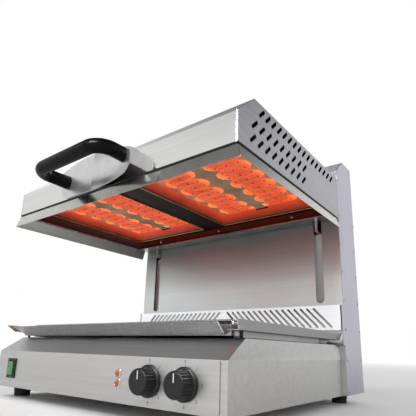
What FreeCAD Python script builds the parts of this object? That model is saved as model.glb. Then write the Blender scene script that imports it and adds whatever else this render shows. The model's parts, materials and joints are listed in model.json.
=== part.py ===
"""Salamander grill with a lifting hood, in millimetres.

+X is to the right, +Y to the back and +Z up. The origin is on the floor under the middle of the
grill. The hood is modelled near the top of its travel, where it stands in use.
"""
import FreeCAD, Part
import Sketcher
import math
import os
from FreeCAD import Placement, Rotation, Vector

SIZES = {
    # hood casing
    "hood_width": 580,
    "hood_depth": 392,
    "hood_level": 380,
    "panel_height": 50,
    "chamfer_depth": 44,
    "chamfer_rise": 42,
    "casing_skin": 1.2,
    "casing_lip": 4,
    "back_skin": 1.5,
    "back_ledge": 2,
    # skirt under the hood
    "skirt_gap": 1.5,
    "skirt_drop": 26,
    "skirt_flare": 8,
    "skirt_front_flare": 6,
    "skirt_inset": 1,
    "skirt_flange": 8,
    "skirt_end_gap": 10,
    "upstand_inset": 2.5,
    "upstand_skin": 1.5,
    # liner between the skirt and the reflectors
    "liner_skin": 1,
    "liner_inset": 5,
    "liner_top": 13,
    "liner_ledge": 2,
    "liner_rear_gap": 35,
    # heating zones
    "zone_side_margin": 43,
    "zone_middle_margin": 45,
    "zone_front_margin": 59,
    "zone_rear_margin": 42,
    "board_level": 30,
    "board_thickness": 12,
    "board_margin": 4,
    "rim_level": 16,
    "rim_reach": 12,
    "rim_rear_reach": 20,
    "reflector_skin": 0.8,
    "reflector_flange": 7,
    "reflector_slit_width": 30,
    "reflector_slit_height": 3,
    "frame_skin": 1.2,
    "frame_reveal": 2,
    "shield_level": 59,
    "shield_skin": 1,
    "shield_inset": 1,
    # ribbon elements
    "ribbon_width": 16,
    "ribbon_thickness": 0.5,
    "ribbon_side_margin": 7,
    "ribbon_middle_gap": 24,
    "ribbon_front_margin": 20,
    "ribbon_rear_margin": 11,
    "strand_count": 11,
    "staple_radius": 1.2,
    "staple_height": 0.8,
    "staple_spacing": 24,
    "terminal_length": 24,
    "terminal_width": 16,
    "terminal_height": 10,
    "terminal_inset": 26,
    # slanted vents in the hood sides
    "vent_radius": 3,
    "vent_reach": 6.4,
    "vent_top_level": 77.2,
    "vent_top_first": 67,
    "vent_top_rear_margin": 32.5,
    "vent_top_count": 16,
    "vent_middle_level": 48,
    "vent_middle_first": 45,
    "vent_low_level": 22.7,
    "vent_low_first": 40,
    "vent_pitch": 22.3,
    "vent_count": 9,
    # handle and its bracket
    "handle_level": 36,
    "handle_left": 115,
    "handle_right": 70,
    "handle_reach": 69,
    "handle_radius": 12.5,
    "handle_bend": 28,
    "handle_foot_radius": 13.5,
    "handle_foot_length": 24,
    "bracket_left": 137,
    "bracket_right": 97,
    "bracket_bend_start": 36,
    "bracket_bend_radius": 371,
    "bracket_skin": 2,
    "bracket_low": 2,
    "bracket_high": 75.5,
    "bracket_crown": 45,
    "bracket_arch_radius": 300,
    "bracket_corner": 30,
    "bracket_nick_width": 20,
    "bracket_nick_height": 10,
    "handle_screw_radius": 3,
    "handle_screw_length": 40,
    "handle_screw_head": 6,
    "handle_screw_head_height": 4,
    "screw_clearance": 0.3,
    # tower
    "hood_gap": 2,
    "tower_depth": 99,
    "tower_rise": 149,
    "tower_chamfer_depth": 45,
    "tower_chamfer_rise": 38,
    "slot_inset": 48,
    "slot_width": 18,
    "slot_foot": 6.6,
    "slot_head": 75,
    "tower_vent_width": 90,
    "tower_vent_radius": 2.5,
    "tower_vent_pitch": 14,
    "tower_vent_count": 9,
    "tower_vent_first": 170,
    "tower_vent_shift": 130,
    # louvred band
    "band_reach": 11,
    "band_top": 79.4,
    "band_height": 50.4,
    "band_end_gap": 2.3,
    "band_skin": 1.2,
    "louvre_radius": 2.4,
    "louvre_first": 12,
    "louvre_end_margin": 19.5,
    "louvre_count": 16,
    "louvre_run": 36,
    "louvre_margin": 7,
    # lift gear
    "arm_skin": 6,
    "arm_drop": 24,
    "arm_rise": 60,
    "arm_flange_width": 40,
    "arm_flange_skin": 4,
    "arm_flange_low": 4,
    "arm_flange_high": 84,
    "arm_clearance": 1,
    "shutter_skin": 1.5,
    "shutter_standoff": 8.45,
    "shutter_length": 177,
    "shutter_seat": 14,
    "carriage_width": 40,
    "carriage_depth": 32,
    "carriage_setback": 24,
    "carriage_drop": 40,
    "carriage_rise": 60,
    "ear_reach": 26,
    "ear_thickness": 12,
    "guide_radius": 6,
    "bush_radius": 9,
    "bush_length": 20,
    "running_gap": 0.05,
    "strut_shift": 34,
    "strut_rod_radius": 4,
    "strut_radius": 10,
    "strut_rod_length": 188,
    "strut_length": 193,
    "strut_floor": 3,
    "crossbar_skin": 3,
    "crossbar_width": 38,
    "upper_crossbar_rise": 122,
    "lower_crossbar_drop": 305,
    # base
    "foot_height": 20,
    "foot_radius": 18,
    "foot_taper": 3,
    "foot_inset": 40,
    "base_drop": 265,
    "shoulder_rise": 28,
    "shoulder_front": 43,
    "shoulder_side": 2,
    "base_inset": 9,
    "base_front_reach": 4,
    "base_skin": 1.5,
    "floor_skin": 1.5,
    "window_margin": 28,
    "window_low": 7,
    "window_high": 63,
    "panel_margin": 20,
    "panel_overlap": 3,
    "panel_skin": 1.5,
    # drip tray, rails and grid
    "rail_top": 23,
    "rail_edge": 2,
    "rail_flare": 7,
    "rail_fall": 12,
    "rail_skin": 1.2,
    "rail_front": 4,
    "rail_mitre": 16,
    "rail_end_gap": 1,
    "runner_inset": 27.7,
    "runner_skin": 1.2,
    "runner_ledge": 12,
    "runner_front": 54,
    "runner_length": 268,
    "post_radius": 2.5,
    "post_setback": 6.2,
    "post_front": 45,
    "post_pitch": 142,
    "post_count": 3,
    "tray_gap": 0.3,
    "tray_side_gap": 1,
    "tray_bottom": 3,
    "tray_height": 15,
    "tray_front": 31,
    "tray_rear_gap": 11,
    "tray_skin": 1,
    "tray_hem": 11,
    "lip_front": 2,
    "lip_top": 20,
    "lip_top_inset": 2.3,
    "lip_bottom_inset": 9.3,
    "grid_bar_radius": 2.5,
    "grid_wire_radius": 1.5,
    "grid_side_gap": 7.3,
    "grid_front_gap": 14,
    "grid_rear_gap": 10,
    "grid_wire_count": 24,
    "grid_gap": 0.3,
    # controls
    "control_level": 55,
    "right_knob_inset": 75,
    "knob_spacing": 65,
    "knob_radius": 19,
    "knob_top_radius": 17,
    "knob_depth": 18,
    "knob_skirt_radius": 22,
    "knob_skirt_depth": 4,
    "knob_gap": 0.4,
    "spindle_radius": 3,
    "spindle_length": 24,
    "regulator_width": 40,
    "regulator_height": 36,
    "regulator_depth": 30,
    "lamp_spacing": 65,
    "lamp_radius": 5,
    "lamp_bezel_radius": 7.5,
    "lamp_reach": 4,
    "lamp_depth": 14,
    "lamp_spread": 14,
    "switch_inset": 65,
    "switch_width": 22,
    "switch_height": 30,
    "switch_depth": 20,
    "switch_bezel": 3,
    "switch_bezel_skin": 2,
    "rocker_gap": 1,
    "rocker_proud": 2,
    "rocker_depth": 8,
    "rocker_pin_radius": 1.5,
    "rocker_pin_reach": 1,
    "terminal_block_gap": 3,
    "terminal_block_width": 70,
    "terminal_block_depth": 28,
    "terminal_block_height": 24,
    "gland_level": 62,
    "gland_inset": 90,
    "gland_radius": 10,
    "gland_nut_radius": 15,
    "gland_bore_radius": 5,
    "gland_reach": 14,
    "gland_nut_height": 6,
    # small fasteners
    "screw_head_radius": 3,
    "screw_head_height": 1.2,
    "casing_screw_inset": 6,
    "casing_screw_pitch": 60,
    "casing_screw_count": 7,
    "skirt_screw_first": 50,
    "skirt_screw_pitch": 90,
    "skirt_screw_count": 4,
    "rear_screw_pitch": 199,
    "rear_screw_level": 9,
}

DOC = FreeCAD.newDocument("SalamanderGrill")
PIECES = []


class Size:
    """A number from the sheet, or one worked out from such numbers, and the formula for it."""

    def __init__(self, value, formula):
        self.value = float(value)
        self.formula = formula

    def __add__(self, other):
        other = size(other)
        return Size(self.value + other.value, f"({self.formula} + {other.formula})")

    def __radd__(self, other):
        return size(other) + self

    def __sub__(self, other):
        other = size(other)
        return Size(self.value - other.value, f"({self.formula} - {other.formula})")

    def __rsub__(self, other):
        return size(other) - self

    def __mul__(self, other):
        other = size(other)
        return Size(self.value * other.value, f"({self.formula} * {other.formula})")

    def __rmul__(self, other):
        return size(other) * self

    def __truediv__(self, other):
        other = size(other)
        return Size(self.value / other.value, f"({self.formula} / {other.formula})")

    def __neg__(self):
        return 0 - self


def size(number):
    """A plain number as a Size, and a Size as it is."""
    if isinstance(number, Size):
        return number
    return Size(number, f"({number})" if number < 0 else str(number))


def fill_sheet():
    """Writes the driving sizes into a spreadsheet and returns them by name."""
    sheet = DOC.addObject("Spreadsheet::Sheet", "sizes")
    for row, (name, number) in enumerate(SIZES.items(), start=1):
        sheet.set(f"A{row}", str(number))
        sheet.setAlias(f"A{row}", name)
    DOC.recompute()
    return {name: Size(number, f"sizes.{name}") for name, number in SIZES.items()}


S = fill_sheet()


def bind(obj, prop, amount):
    """Gives a property its size and keeps the formula on it."""
    obj.setExpression(prop, size(amount).formula)


def place(obj, x, y, z, rotation=None):
    """Puts an object at a point worked out from the sheet."""
    if rotation is not None:
        obj.Placement = Placement(Vector(), rotation)
    for axis, amount in zip("xyz", (x, y, z)):
        bind(obj, f"Placement.Base.{axis}", amount)


def name_piece(obj, label):
    """Makes an object one of the pieces that are written out."""
    obj.Label = label
    PIECES.append(obj)
    return obj


def box(name, x, y, z):
    """A block between two values along each axis."""
    block = DOC.addObject("Part::Box", name)
    for prop, (low, high) in zip(("Length", "Width", "Height"), (x, y, z)):
        bind(block, prop, size(high) - low)
    place(block, x[0], y[0], z[0])
    return block


TURNS = {
    "X": Rotation(Vector(0, 1, 0), 90),
    "Y": Rotation(Vector(1, 0, 0), -90),
    "Z": Rotation(),
}


def rod(name, axis, centre, length, radius):
    """A round bar that starts at a point and runs along an axis."""
    bar = DOC.addObject("Part::Cylinder", name)
    bind(bar, "Radius", radius)
    bind(bar, "Height", length)
    place(bar, *centre, TURNS[axis])
    return bar


def cone(name, axis, centre, length, radius, end_radius):
    """A round bar whose radius changes along its length."""
    bar = DOC.addObject("Part::Cone", name)
    bind(bar, "Radius1", radius)
    bind(bar, "Radius2", end_radius)
    bind(bar, "Height", length)
    place(bar, *centre, TURNS[axis])
    return bar


def frustum(name, low, high, z):
    """A block whose plan is one rectangle at the bottom and another at the top.

    low and high are ((x0, x1), (y0, y1)), and z is (bottom, top).
    """
    block = DOC.addObject("Part::Wedge", name)
    (x0, x1), (y0, y1) = low
    (u0, u1), (v0, v1) = high
    amounts = {
        "Xmin": x0, "Xmax": x1, "Zmin": -size(y1), "Zmax": -size(y0),
        "X2min": u0, "X2max": u1, "Z2min": -size(v1), "Z2max": -size(v0),
        "Ymin": z[0], "Ymax": z[1],
    }
    for prop, amount in amounts.items():
        setattr(block, prop, size(amount).value)
    for prop, amount in amounts.items():
        bind(block, prop, amount)
    place(block, 0, 0, 0, Rotation(Vector(1, 0, 0), 90))
    return block


def join(name, *solids):
    """One solid made of several that touch or overlap."""
    union = DOC.addObject("Part::MultiFuse", name)
    union.Shapes = list(solids)
    union.Refine = True
    return union


def group(name, *solids):
    """Separate solids kept as one object."""
    together = DOC.addObject("Part::Compound", name)
    together.Links = list(solids)
    return together


def cut(name, solid, *tools):
    """A solid with one or more tools taken away."""
    result = DOC.addObject("Part::Cut", name)
    result.Base = solid
    result.Tool = tools[0] if len(tools) == 1 else group(f"{name}_tools", *tools)
    result.Refine = True
    return result


def overlap(name, *solids):
    """The part that solids have in common."""
    common = DOC.addObject("Part::MultiCommon", name)
    common.Shapes = list(solids)
    return common


def mirrored(label, source):
    """The left-hand twin of a right-hand piece."""
    twin = DOC.addObject("Part::Mirroring", label)
    twin.Source = source
    twin.Normal = Vector(1, 0, 0)
    twin.Base = Vector(0, 0, 0)
    return name_piece(twin, label)


def new_body(label):
    """An empty body, which is one of the pieces."""
    body = DOC.addObject("PartDesign::Body", label)
    return name_piece(body, label)


def new_sketch(body, name, role, offset=0):
    """A sketch on one of the body's own origin planes, moved along its normal."""
    sketch = body.newObject("Sketcher::SketchObject", name)
    plane = [item for item in body.Origin.OriginFeatures if item.Role == role][0]
    sketch.AttachmentSupport = [(plane, "")]
    sketch.MapMode = "FlatFace"
    bind(sketch, "AttachmentOffset.Base.z", offset)
    return sketch


def pin_point(sketch, element, end, x, y):
    """Ties one point of a sketch to its two sizes."""
    for kind, amount in (("DistanceX", size(x)), ("DistanceY", size(y))):
        rule = Sketcher.Constraint(kind, -1, 1, element, end, amount.value)
        index = sketch.addConstraint(rule)
        sketch.setExpression(f"Constraints[{index}]", amount.formula)


def draw_outline(sketch, points):
    """A closed outline of straight lines, each corner tied to its sizes."""
    places = [Vector(size(x).value, size(y).value, 0) for x, y in points]
    count = len(points)
    first = sketch.GeometryCount
    for i in range(count):
        sketch.addGeometry(Part.LineSegment(places[i], places[(i + 1) % count]), False)
    for i in range(count):
        joint = Sketcher.Constraint("Coincident", first + i, 2, first + (i + 1) % count, 1)
        sketch.addConstraint(joint)
    for i, (x, y) in enumerate(points):
        pin_point(sketch, first + i, 1, x, y)


def draw_slot(sketch, start, end, radius):
    """A slot with round ends between two centres."""
    x0, y0, x1, y1 = (size(v).value for v in (*start, *end))
    wide = size(radius).value
    angle = math.atan2(y1 - y0, x1 - x0)
    quarter = math.pi / 2
    side = Vector(-math.sin(angle) * wide, math.cos(angle) * wide, 0)
    near, far = Vector(x0, y0, 0), Vector(x1, y1, 0)
    up = Vector(0, 0, 1)
    near_end = Part.ArcOfCircle(Part.Circle(near, up, wide), angle + quarter, angle + 3 * quarter)
    far_end = Part.ArcOfCircle(Part.Circle(far, up, wide), angle - quarter, angle + quarter)
    upper = Part.LineSegment(near + side, far + side)
    lower = Part.LineSegment(near - side, far - side)
    a, b, u, v = sketch.addGeometry([near_end, far_end, upper, lower], False)
    touches = ((a, 1, u, 1), (b, 2, u, 2), (a, 2, v, 1), (b, 1, v, 2))
    for element, point, line, line_end in touches:
        sketch.addConstraint(Sketcher.Constraint("Tangent", element, point, line, line_end))
    sketch.addConstraint(Sketcher.Constraint("Equal", a, b))
    index = sketch.addConstraint(Sketcher.Constraint("Radius", a, wide))
    sketch.setExpression(f"Constraints[{index}]", size(radius).formula)
    pin_point(sketch, a, 3, *start)
    pin_point(sketch, b, 3, *end)


def add_pad(body, name, sketch, length, backwards=False):
    """Raises a sketch into a solid."""
    pad = body.newObject("PartDesign::Pad", name)
    pad.Profile = sketch
    pad.Reversed = backwards
    bind(pad, "Length", length)
    body.Tip = pad
    return pad


def add_pocket(body, name, sketch):
    """Cuts a sketch through the whole body, both ways."""
    pocket = body.newObject("PartDesign::Pocket", name)
    pocket.Profile = sketch
    pocket.Type = "ThroughAll"
    pocket.Midplane = True
    body.Tip = pocket
    return pocket


def add_row(body, name, feature, sketch, pitch, count, backwards=False):
    """Repeats a cut along the sketch's own horizontal axis."""
    row = body.newObject("PartDesign::LinearPattern", name)
    row.Originals = [feature]
    row.Direction = (sketch, ["H_Axis"])
    row.Reversed = backwards
    bind(row, "Length", size(pitch) * (size(count) - 1))
    bind(row, "Occurrences", count)
    body.Tip = row
    return row


def bent_sheet(label, x, outline):
    """A folded sheet: its edge drawn in the YZ plane and drawn out along X."""
    body = new_body(label)
    sketch = new_sketch(body, f"{label}_edge", "YZ_Plane", x[0])
    draw_outline(sketch, outline)
    add_pad(body, f"{label}_sheet", sketch, size(x[1]) - x[0])
    return body


def long_profile(label, y, outline):
    """A folded sheet whose edge is drawn in the XZ plane and drawn out along Y."""
    body = new_body(label)
    sketch = new_sketch(body, f"{label}_edge", "XZ_Plane", -size(y[0]))
    draw_outline(sketch, outline)
    add_pad(body, f"{label}_sheet", sketch, size(y[1]) - y[0], backwards=True)
    return body


# Shared positions

HALF = S["hood_width"] / 2
INNER = HALF - S["casing_skin"]
REACH_FORWARD = S["handle_reach"] + S["handle_radius"]
DEPTH_BEHIND = S["hood_depth"] + S["hood_gap"] + S["tower_depth"] + S["gland_reach"]
FRONT = (REACH_FORWARD - DEPTH_BEHIND) / 2
REAR = FRONT + S["hood_depth"]
TOWER_FRONT = REAR + S["hood_gap"]
TOWER_REAR = TOWER_FRONT + S["tower_depth"]
LEVEL = S["hood_level"]
HOOD_TOP = LEVEL + S["panel_height"] + S["chamfer_rise"]
DECK = LEVEL - S["base_drop"]
RIM = LEVEL + S["rim_level"]
BOARD = LEVEL + S["board_level"]
BASE_FRONT = FRONT - S["base_front_reach"]
BASE_HALF = HALF - S["base_inset"]
PANEL_FACE = BASE_FRONT - S["panel_skin"]
CARRIAGE_FRONT = TOWER_FRONT + S["carriage_setback"]
GUIDE_Y = CARRIAGE_FRONT + S["carriage_depth"] / 2
SLOT_X = HALF - S["slot_inset"]
STRUT_X = SLOT_X - S["strut_shift"]
SKIRT_MOUTH = HALF - S["skirt_inset"] - S["skirt_flange"]
RUNNER_TOP = DECK + S["rail_top"] - S["rail_fall"] - S["rail_skin"]


# Hood casing

def make_hood_cover():
    """Front panel, chamfer and top of the hood, folded from one sheet."""
    skin = S["casing_skin"]
    bend = LEVEL + S["panel_height"]
    brow = FRONT + S["chamfer_depth"]
    rear = REAR - S["back_skin"]
    lip = FRONT + S["casing_lip"]
    body = bent_sheet("hood_cover", (-INNER, INNER), [
        (FRONT, LEVEL), (lip, LEVEL), (lip, LEVEL + skin), (FRONT + skin, LEVEL + skin),
        (FRONT + skin, bend - skin / 2), (brow + skin / 2, HOOD_TOP - skin),
        (rear, HOOD_TOP - skin), (rear, HOOD_TOP), (brow, HOOD_TOP), (FRONT, bend),
    ])
    holes = new_sketch(body, "hood_cover_holes", "XZ_Plane", -FRONT)
    for x in (-S["handle_left"], S["handle_right"]):
        draw_circle(holes, x, LEVEL + S["handle_level"], handle_hole_radius())
    add_pocket(body, "hood_cover_drill", holes)


def draw_circle(sketch, x, y, radius):
    """A circle tied to its centre and radius."""
    centre = Vector(size(x).value, size(y).value, 0)
    circle = Part.Circle(centre, Vector(0, 0, 1), size(radius).value)
    element = sketch.addGeometry(circle, False)
    pin_point(sketch, element, 3, x, y)
    index = sketch.addConstraint(Sketcher.Constraint("Radius", element, size(radius).value))
    sketch.setExpression(f"Constraints[{index}]", size(radius).formula)


def handle_hole_radius():
    """Radius of the holes that the handle screws go through."""
    return S["handle_screw_radius"] + S["screw_clearance"]


def make_hood_side():
    """Side panel with three rows of slanted vents, and its twin."""
    body = new_body("hood_side_right")
    outline = new_sketch(body, "hood_side_outline", "YZ_Plane", INNER)
    draw_outline(outline, [
        (FRONT, LEVEL), (REAR, LEVEL), (REAR, HOOD_TOP),
        (FRONT + S["chamfer_depth"], HOOD_TOP), (FRONT, LEVEL + S["panel_height"]),
    ])
    add_pad(body, "hood_side_sheet", outline, S["casing_skin"])
    lip = new_sketch(body, "hood_side_lip_outline", "YZ_Plane", INNER - S["casing_lip"])
    front, rear = FRONT + S["casing_lip"], REAR - S["skirt_end_gap"]
    top = LEVEL + S["casing_skin"]
    draw_outline(lip, [(front, LEVEL), (rear, LEVEL), (rear, top), (front, top)])
    add_pad(body, "hood_side_lip", lip, S["casing_lip"])
    top_row = S["hood_depth"] - S["vent_top_first"] - S["vent_top_rear_margin"]
    top_pitch = top_row / (S["vent_top_count"] - 1)
    rows = {
        "top": (S["vent_top_level"], S["vent_top_first"], top_pitch, S["vent_top_count"]),
        "middle": (S["vent_middle_level"], S["vent_middle_first"], S["vent_pitch"], S["vent_count"]),
        "low": (S["vent_low_level"], S["vent_low_first"], S["vent_pitch"], S["vent_count"]),
    }
    reach = S["vent_reach"]
    for name, (level, first, pitch, count) in rows.items():
        y, z = FRONT + first, LEVEL + level
        sketch = new_sketch(body, f"vent_{name}_outline", "YZ_Plane", INNER)
        draw_slot(sketch, (y - reach, z - reach), (y + reach, z + reach), S["vent_radius"])
        vent = add_pocket(body, f"vent_{name}", sketch)
        add_row(body, f"vent_{name}_row", vent, sketch, pitch, count)
    mirrored("hood_side_left", body)


def make_hood_back():
    """Back panel of the hood and its ledge, both cut away round the lift arms."""
    skin = S["casing_skin"]
    body = new_body("hood_back")
    sketch = new_sketch(body, "hood_back_outline", "XZ_Plane", -REAR)
    low, high = LEVEL - S["skirt_gap"] - skin, HOOD_TOP
    slot = S["arm_skin"] / 2 + S["arm_clearance"]
    head = LEVEL + S["arm_rise"] + S["arm_clearance"]
    outline = [(-INNER, low)]
    for centre in (-SLOT_X, SLOT_X):
        outline += [(centre - slot, low), (centre - slot, head)]
        outline += [(centre + slot, head), (centre + slot, low)]
    draw_outline(sketch, outline + [(INNER, low), (INNER, high), (-INNER, high)])
    add_pad(body, "hood_back_sheet", sketch, S["back_skin"])
    ledge = new_sketch(body, "hood_back_ledge_outline", "XY_Plane", low)
    half = SKIRT_MOUTH
    front = REAR - S["liner_rear_gap"] - S["liner_skin"] - S["back_ledge"]
    rear = REAR - S["back_skin"] / 2
    notch = REAR - S["back_skin"] - S["arm_flange_skin"] - S["arm_clearance"]
    outline = [(half, rear), (half, front), (-half, front), (-half, rear)]
    for centre in (-SLOT_X, SLOT_X):
        outline += [(centre - slot, rear), (centre - slot, notch)]
        outline += [(centre + slot, notch), (centre + slot, rear)]
    draw_outline(ledge, outline)
    add_pad(body, "hood_back_ledge", ledge, skin)


def make_skirt():
    """Flared skirt on the front and both sides, with a flange and a low upstand on top."""
    skin = S["casing_skin"]
    top, bottom = LEVEL - S["skirt_gap"], LEVEL - S["skirt_drop"]
    half, front = HALF - S["skirt_inset"], FRONT + S["skirt_inset"]
    wide = half + S["skirt_flare"]
    nose = front - S["skirt_front_flare"]
    rear = REAR + S["skirt_drop"]
    outer = frustum("skirt_outer", ((-wide, wide), (nose, rear)), ((-half, half), (front, rear)),
                    (bottom, top))
    inner = frustum(
        "skirt_inner",
        ((skin - wide, wide - skin), (nose + skin, rear - skin)),
        ((skin - half, half - skin), (front + skin, rear - skin)),
        (bottom, top - skin),
    )
    mouth = SKIRT_MOUTH
    hole = box("skirt_hole", (-mouth, mouth), (front + S["skirt_flange"], rear), (bottom, top))
    end = REAR - S["skirt_end_gap"]
    behind = box("skirt_behind", (-wide, wide), (end, rear), (bottom, top))
    shell = cut("skirt_shell", outer, inner, hole, behind)
    step = S["upstand_inset"]
    ridge = HALF - step
    inside = ridge - S["upstand_skin"]
    crest = (top, LEVEL)
    block = box("skirt_ridge", (-ridge, ridge), (FRONT + S["skirt_inset"], end), crest)
    start = FRONT + S["skirt_inset"] + S["upstand_skin"]
    core = box("skirt_ridge_core", (-inside, inside), (start, end), crest)
    upstand = cut("skirt_upstand", block, core)
    name_piece(join("hood_skirt", shell, upstand), "hood_skirt")


# Heating zones

HEEL = REAR - S["liner_rear_gap"]
ZONE_FRONT = FRONT + S["zone_front_margin"]
ZONE_REAR = HEEL - S["zone_rear_margin"]
ZONE_WIDTH = HALF - S["zone_side_margin"] - S["zone_middle_margin"]
ZONE_X = S["zone_middle_margin"] + ZONE_WIDTH / 2
FUNNEL = S["rim_reach"] + S["reflector_skin"]
FLANGE = FUNNEL + S["reflector_flange"]


def zone_span(margin, rear=0):
    """The right zone's plan, grown by a margin on each side and by more at the rear."""
    half = ZONE_WIDTH / 2 + margin
    x = (ZONE_X - half, ZONE_X + half)
    return x, (ZONE_FRONT - margin, ZONE_REAR + margin + rear)


REAR_EXTRA = S["rim_rear_reach"] - S["rim_reach"]
FRAME_LEVEL = RIM - S["frame_skin"]
NECK = ZONE_X + ZONE_WIDTH / 2 + FLANGE - S["liner_ledge"]
BROW = ZONE_FRONT - FLANGE + S["liner_ledge"]
RIBBON_REACH = (ZONE_WIDTH - S["ribbon_middle_gap"]) / 2 - S["ribbon_side_margin"]
RIBBON_SHIFT = (RIBBON_REACH + S["ribbon_middle_gap"]) / 2
RIBBON_FRONT = ZONE_FRONT + S["ribbon_front_margin"]
RIBBON_SPAN = ZONE_REAR - S["ribbon_rear_margin"] - RIBBON_FRONT
RIBBON_PITCH = RIBBON_SPAN / (S["strand_count"] - 1)


def make_liner():
    """Inner lining from the skirt up to the dark frame: sloping, and upright at the rear."""
    skin = S["liner_skin"]
    low, high = LEVEL - S["skirt_gap"], LEVEL + S["liner_top"]
    foot = HALF - S["liner_inset"]
    front = FRONT + S["liner_inset"]
    outer = frustum("liner_outer", ((-foot, foot), (front, HEEL)), ((-NECK, NECK), (BROW, HEEL)),
                    (low, high))
    inner = frustum(
        "liner_inner",
        ((skin - foot, foot - skin), (front + skin, HEEL - skin)),
        ((skin - NECK, NECK - skin), (BROW + skin, HEEL - skin)),
        (low, high),
    )
    collar = box("liner_collar", (-NECK, NECK), (BROW, HEEL), (high, FRAME_LEVEL))
    hollow = box("liner_hollow", (skin - NECK, NECK - skin), (BROW + skin, HEEL - skin),
                 (high, FRAME_LEVEL))
    slope = cut("liner_slope", outer, inner)
    ring = cut("liner_ring", collar, hollow)
    name_piece(join("liner_whole", slope, ring), "hood_liner")


def make_reflector():
    """Funnel-shaped reflector round one zone, with a flange at its rim, and its twin."""
    skin, reach = S["reflector_skin"], S["rim_reach"]
    outer = frustum("reflector_outer", zone_span(FUNNEL, REAR_EXTRA), zone_span(skin), (RIM, BOARD))
    inner = frustum("reflector_inner", zone_span(reach, REAR_EXTRA), zone_span(0), (RIM, BOARD))
    flange = box("reflector_flange", *zone_span(FLANGE, REAR_EXTRA), (RIM, RIM + skin))
    funnel = join("reflector_block", outer, flange)
    half = S["reflector_slit_width"] / 2
    slit = box("reflector_slit", (ZONE_X - half, ZONE_X + half),
               (ZONE_REAR - skin, ZONE_REAR + S["rim_rear_reach"]),
               (BOARD - S["reflector_slit_height"], BOARD))
    right = name_piece(cut("reflector_right", funnel, inner, slit), "reflector_right")
    mirrored("reflector_left", right)


def make_zone_frame():
    """Dark plate with a mouth for each reflector, which lies on the liner's collar."""
    span = (FRAME_LEVEL, RIM)
    plate = box("frame_plate", (-NECK, NECK), (BROW, HEEL), span)
    (low, high), y = zone_span(S["rim_reach"] + S["frame_reveal"], REAR_EXTRA)
    right = box("frame_mouth_right", (low, high), y, span)
    left = box("frame_mouth_left", (-high, -low), y, span)
    name_piece(cut("zone_frame", plate, right, left), "zone_frame")


def make_board():
    """Insulation board that carries the ribbons of one zone, and its twin."""
    top = BOARD + S["board_thickness"]
    right = box("insulation_board_right", *zone_span(S["board_margin"]), (BOARD, top))
    name_piece(right, "insulation_board_right")
    mirrored("insulation_board_left", right)


def make_heat_shield():
    """Inverted tray over both boards, standing on the flanges of the reflectors."""
    skin = S["shield_skin"]
    reach = FLANGE - S["shield_inset"]
    (_, wide), y = zone_span(reach, REAR_EXTRA)
    (_, narrow), inside = zone_span(reach - skin, REAR_EXTRA)
    low, high = RIM + S["reflector_skin"], LEVEL + S["shield_level"]
    block = box("shield_block", (-wide, wide), y, (low, high))
    hollow = box("shield_hollow", (-narrow, narrow), inside, (low, high - skin))
    name_piece(cut("heat_shield", block, hollow), "heat_shield")


def meander(centre_x, first_y, bottom, hand):
    """One ribbon laid in hairpins along X, as a flat strip with round turns.

    hand is the side of its first turn: 1 on the right, -1 on the left.
    """
    pitch, half = RIBBON_PITCH.value, S["ribbon_width"].value / 2
    thick = S["ribbon_thickness"].value
    count = int(S["strand_count"].value)
    outer, inner = pitch / 2 + half, pitch / 2 - half
    end = RIBBON_REACH.value / 2
    bend = end - outer
    up = Vector(0, 0, 1)
    strip = []
    for i in range(count):
        y = first_y + i * pitch
        side = hand if i % 2 == 0 else -hand
        entry = -side * (end if i == 0 else bend)
        leave = side * (end if i == count - 1 else bend)
        start = Vector(centre_x + min(entry, leave), y - half, bottom)
        strip.append(Part.makeBox(abs(leave - entry), 2 * half, thick, start))
        if i < count - 1:
            turn = Vector(centre_x + leave, y + pitch / 2, bottom)
            disc = Part.makeCylinder(outer, thick, turn, up)
            ring = disc.cut(Part.makeCylinder(inner, thick, turn, up))
            corner = turn + Vector(0 if side > 0 else -outer, -outer, 0)
            strip.append(ring.common(Part.makeBox(outer, 2 * outer, thick, corner)))
    return strip[0].fuse(strip[1:]).removeSplitter().Solids[0]


def make_ribbons():
    """Glowing ribbons on the underside of the boards, two to a zone."""
    bottom = (BOARD - S["ribbon_thickness"]).value
    first = RIBBON_FRONT.value
    for side, sign in (("left", -1), ("right", 1)):
        centre = sign * ZONE_X.value
        shift = RIBBON_SHIFT.value
        ribbons = DOC.addObject("Part::Feature", f"ribbon_elements_{side}")
        strips = [meander(centre + k * shift, first, bottom, -k) for k in (-1, 1)]
        ribbons.Shape = Part.makeCompound(strips)
        name_piece(ribbons, f"ribbon_elements_{side}")


def make_staples():
    """Small pins that hold every strand of the ribbons to the boards."""
    pins = []
    top = (BOARD - S["ribbon_thickness"] - S["staple_height"]).value
    first = RIBBON_FRONT.value
    for sign in (-1, 1):
        for shift in (-1, 1):
            centre = sign * ZONE_X.value + shift * RIBBON_SHIFT.value
            for i in range(int(S["strand_count"].value)):
                for k in (-1, 0, 1):
                    x = centre + k * S["staple_spacing"].value
                    start = Vector(x, first + i * RIBBON_PITCH.value, top)
                    pins.append(Part.makeCylinder(
                        S["staple_radius"].value, S["staple_height"].value, start))
    staples = DOC.addObject("Part::Feature", "element_staples")
    staples.Shape = Part.makeCompound(pins)
    name_piece(staples, "element_staples")


def make_terminals():
    """Ceramic terminal blocks on top of the boards, one for each ribbon."""
    blocks = []
    base = BOARD + S["board_thickness"]
    rear = ZONE_REAR - S["terminal_inset"]
    for sign in (-1, 1):
        for shift in (-1, 1):
            x = sign * ZONE_X + shift * RIBBON_SHIFT
            half = S["terminal_length"] / 2
            span = (rear - S["terminal_width"], rear)
            high = base + S["terminal_height"]
            blocks.append(box(f"terminal_{len(blocks)}", (x - half, x + half), span, (base, high)))
    name_piece(group("element_terminals", *blocks), "element_terminals")


# Handle

HANDLE_Z = LEVEL + S["handle_level"]
GRIP_Y = FRONT - S["handle_reach"]


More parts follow.
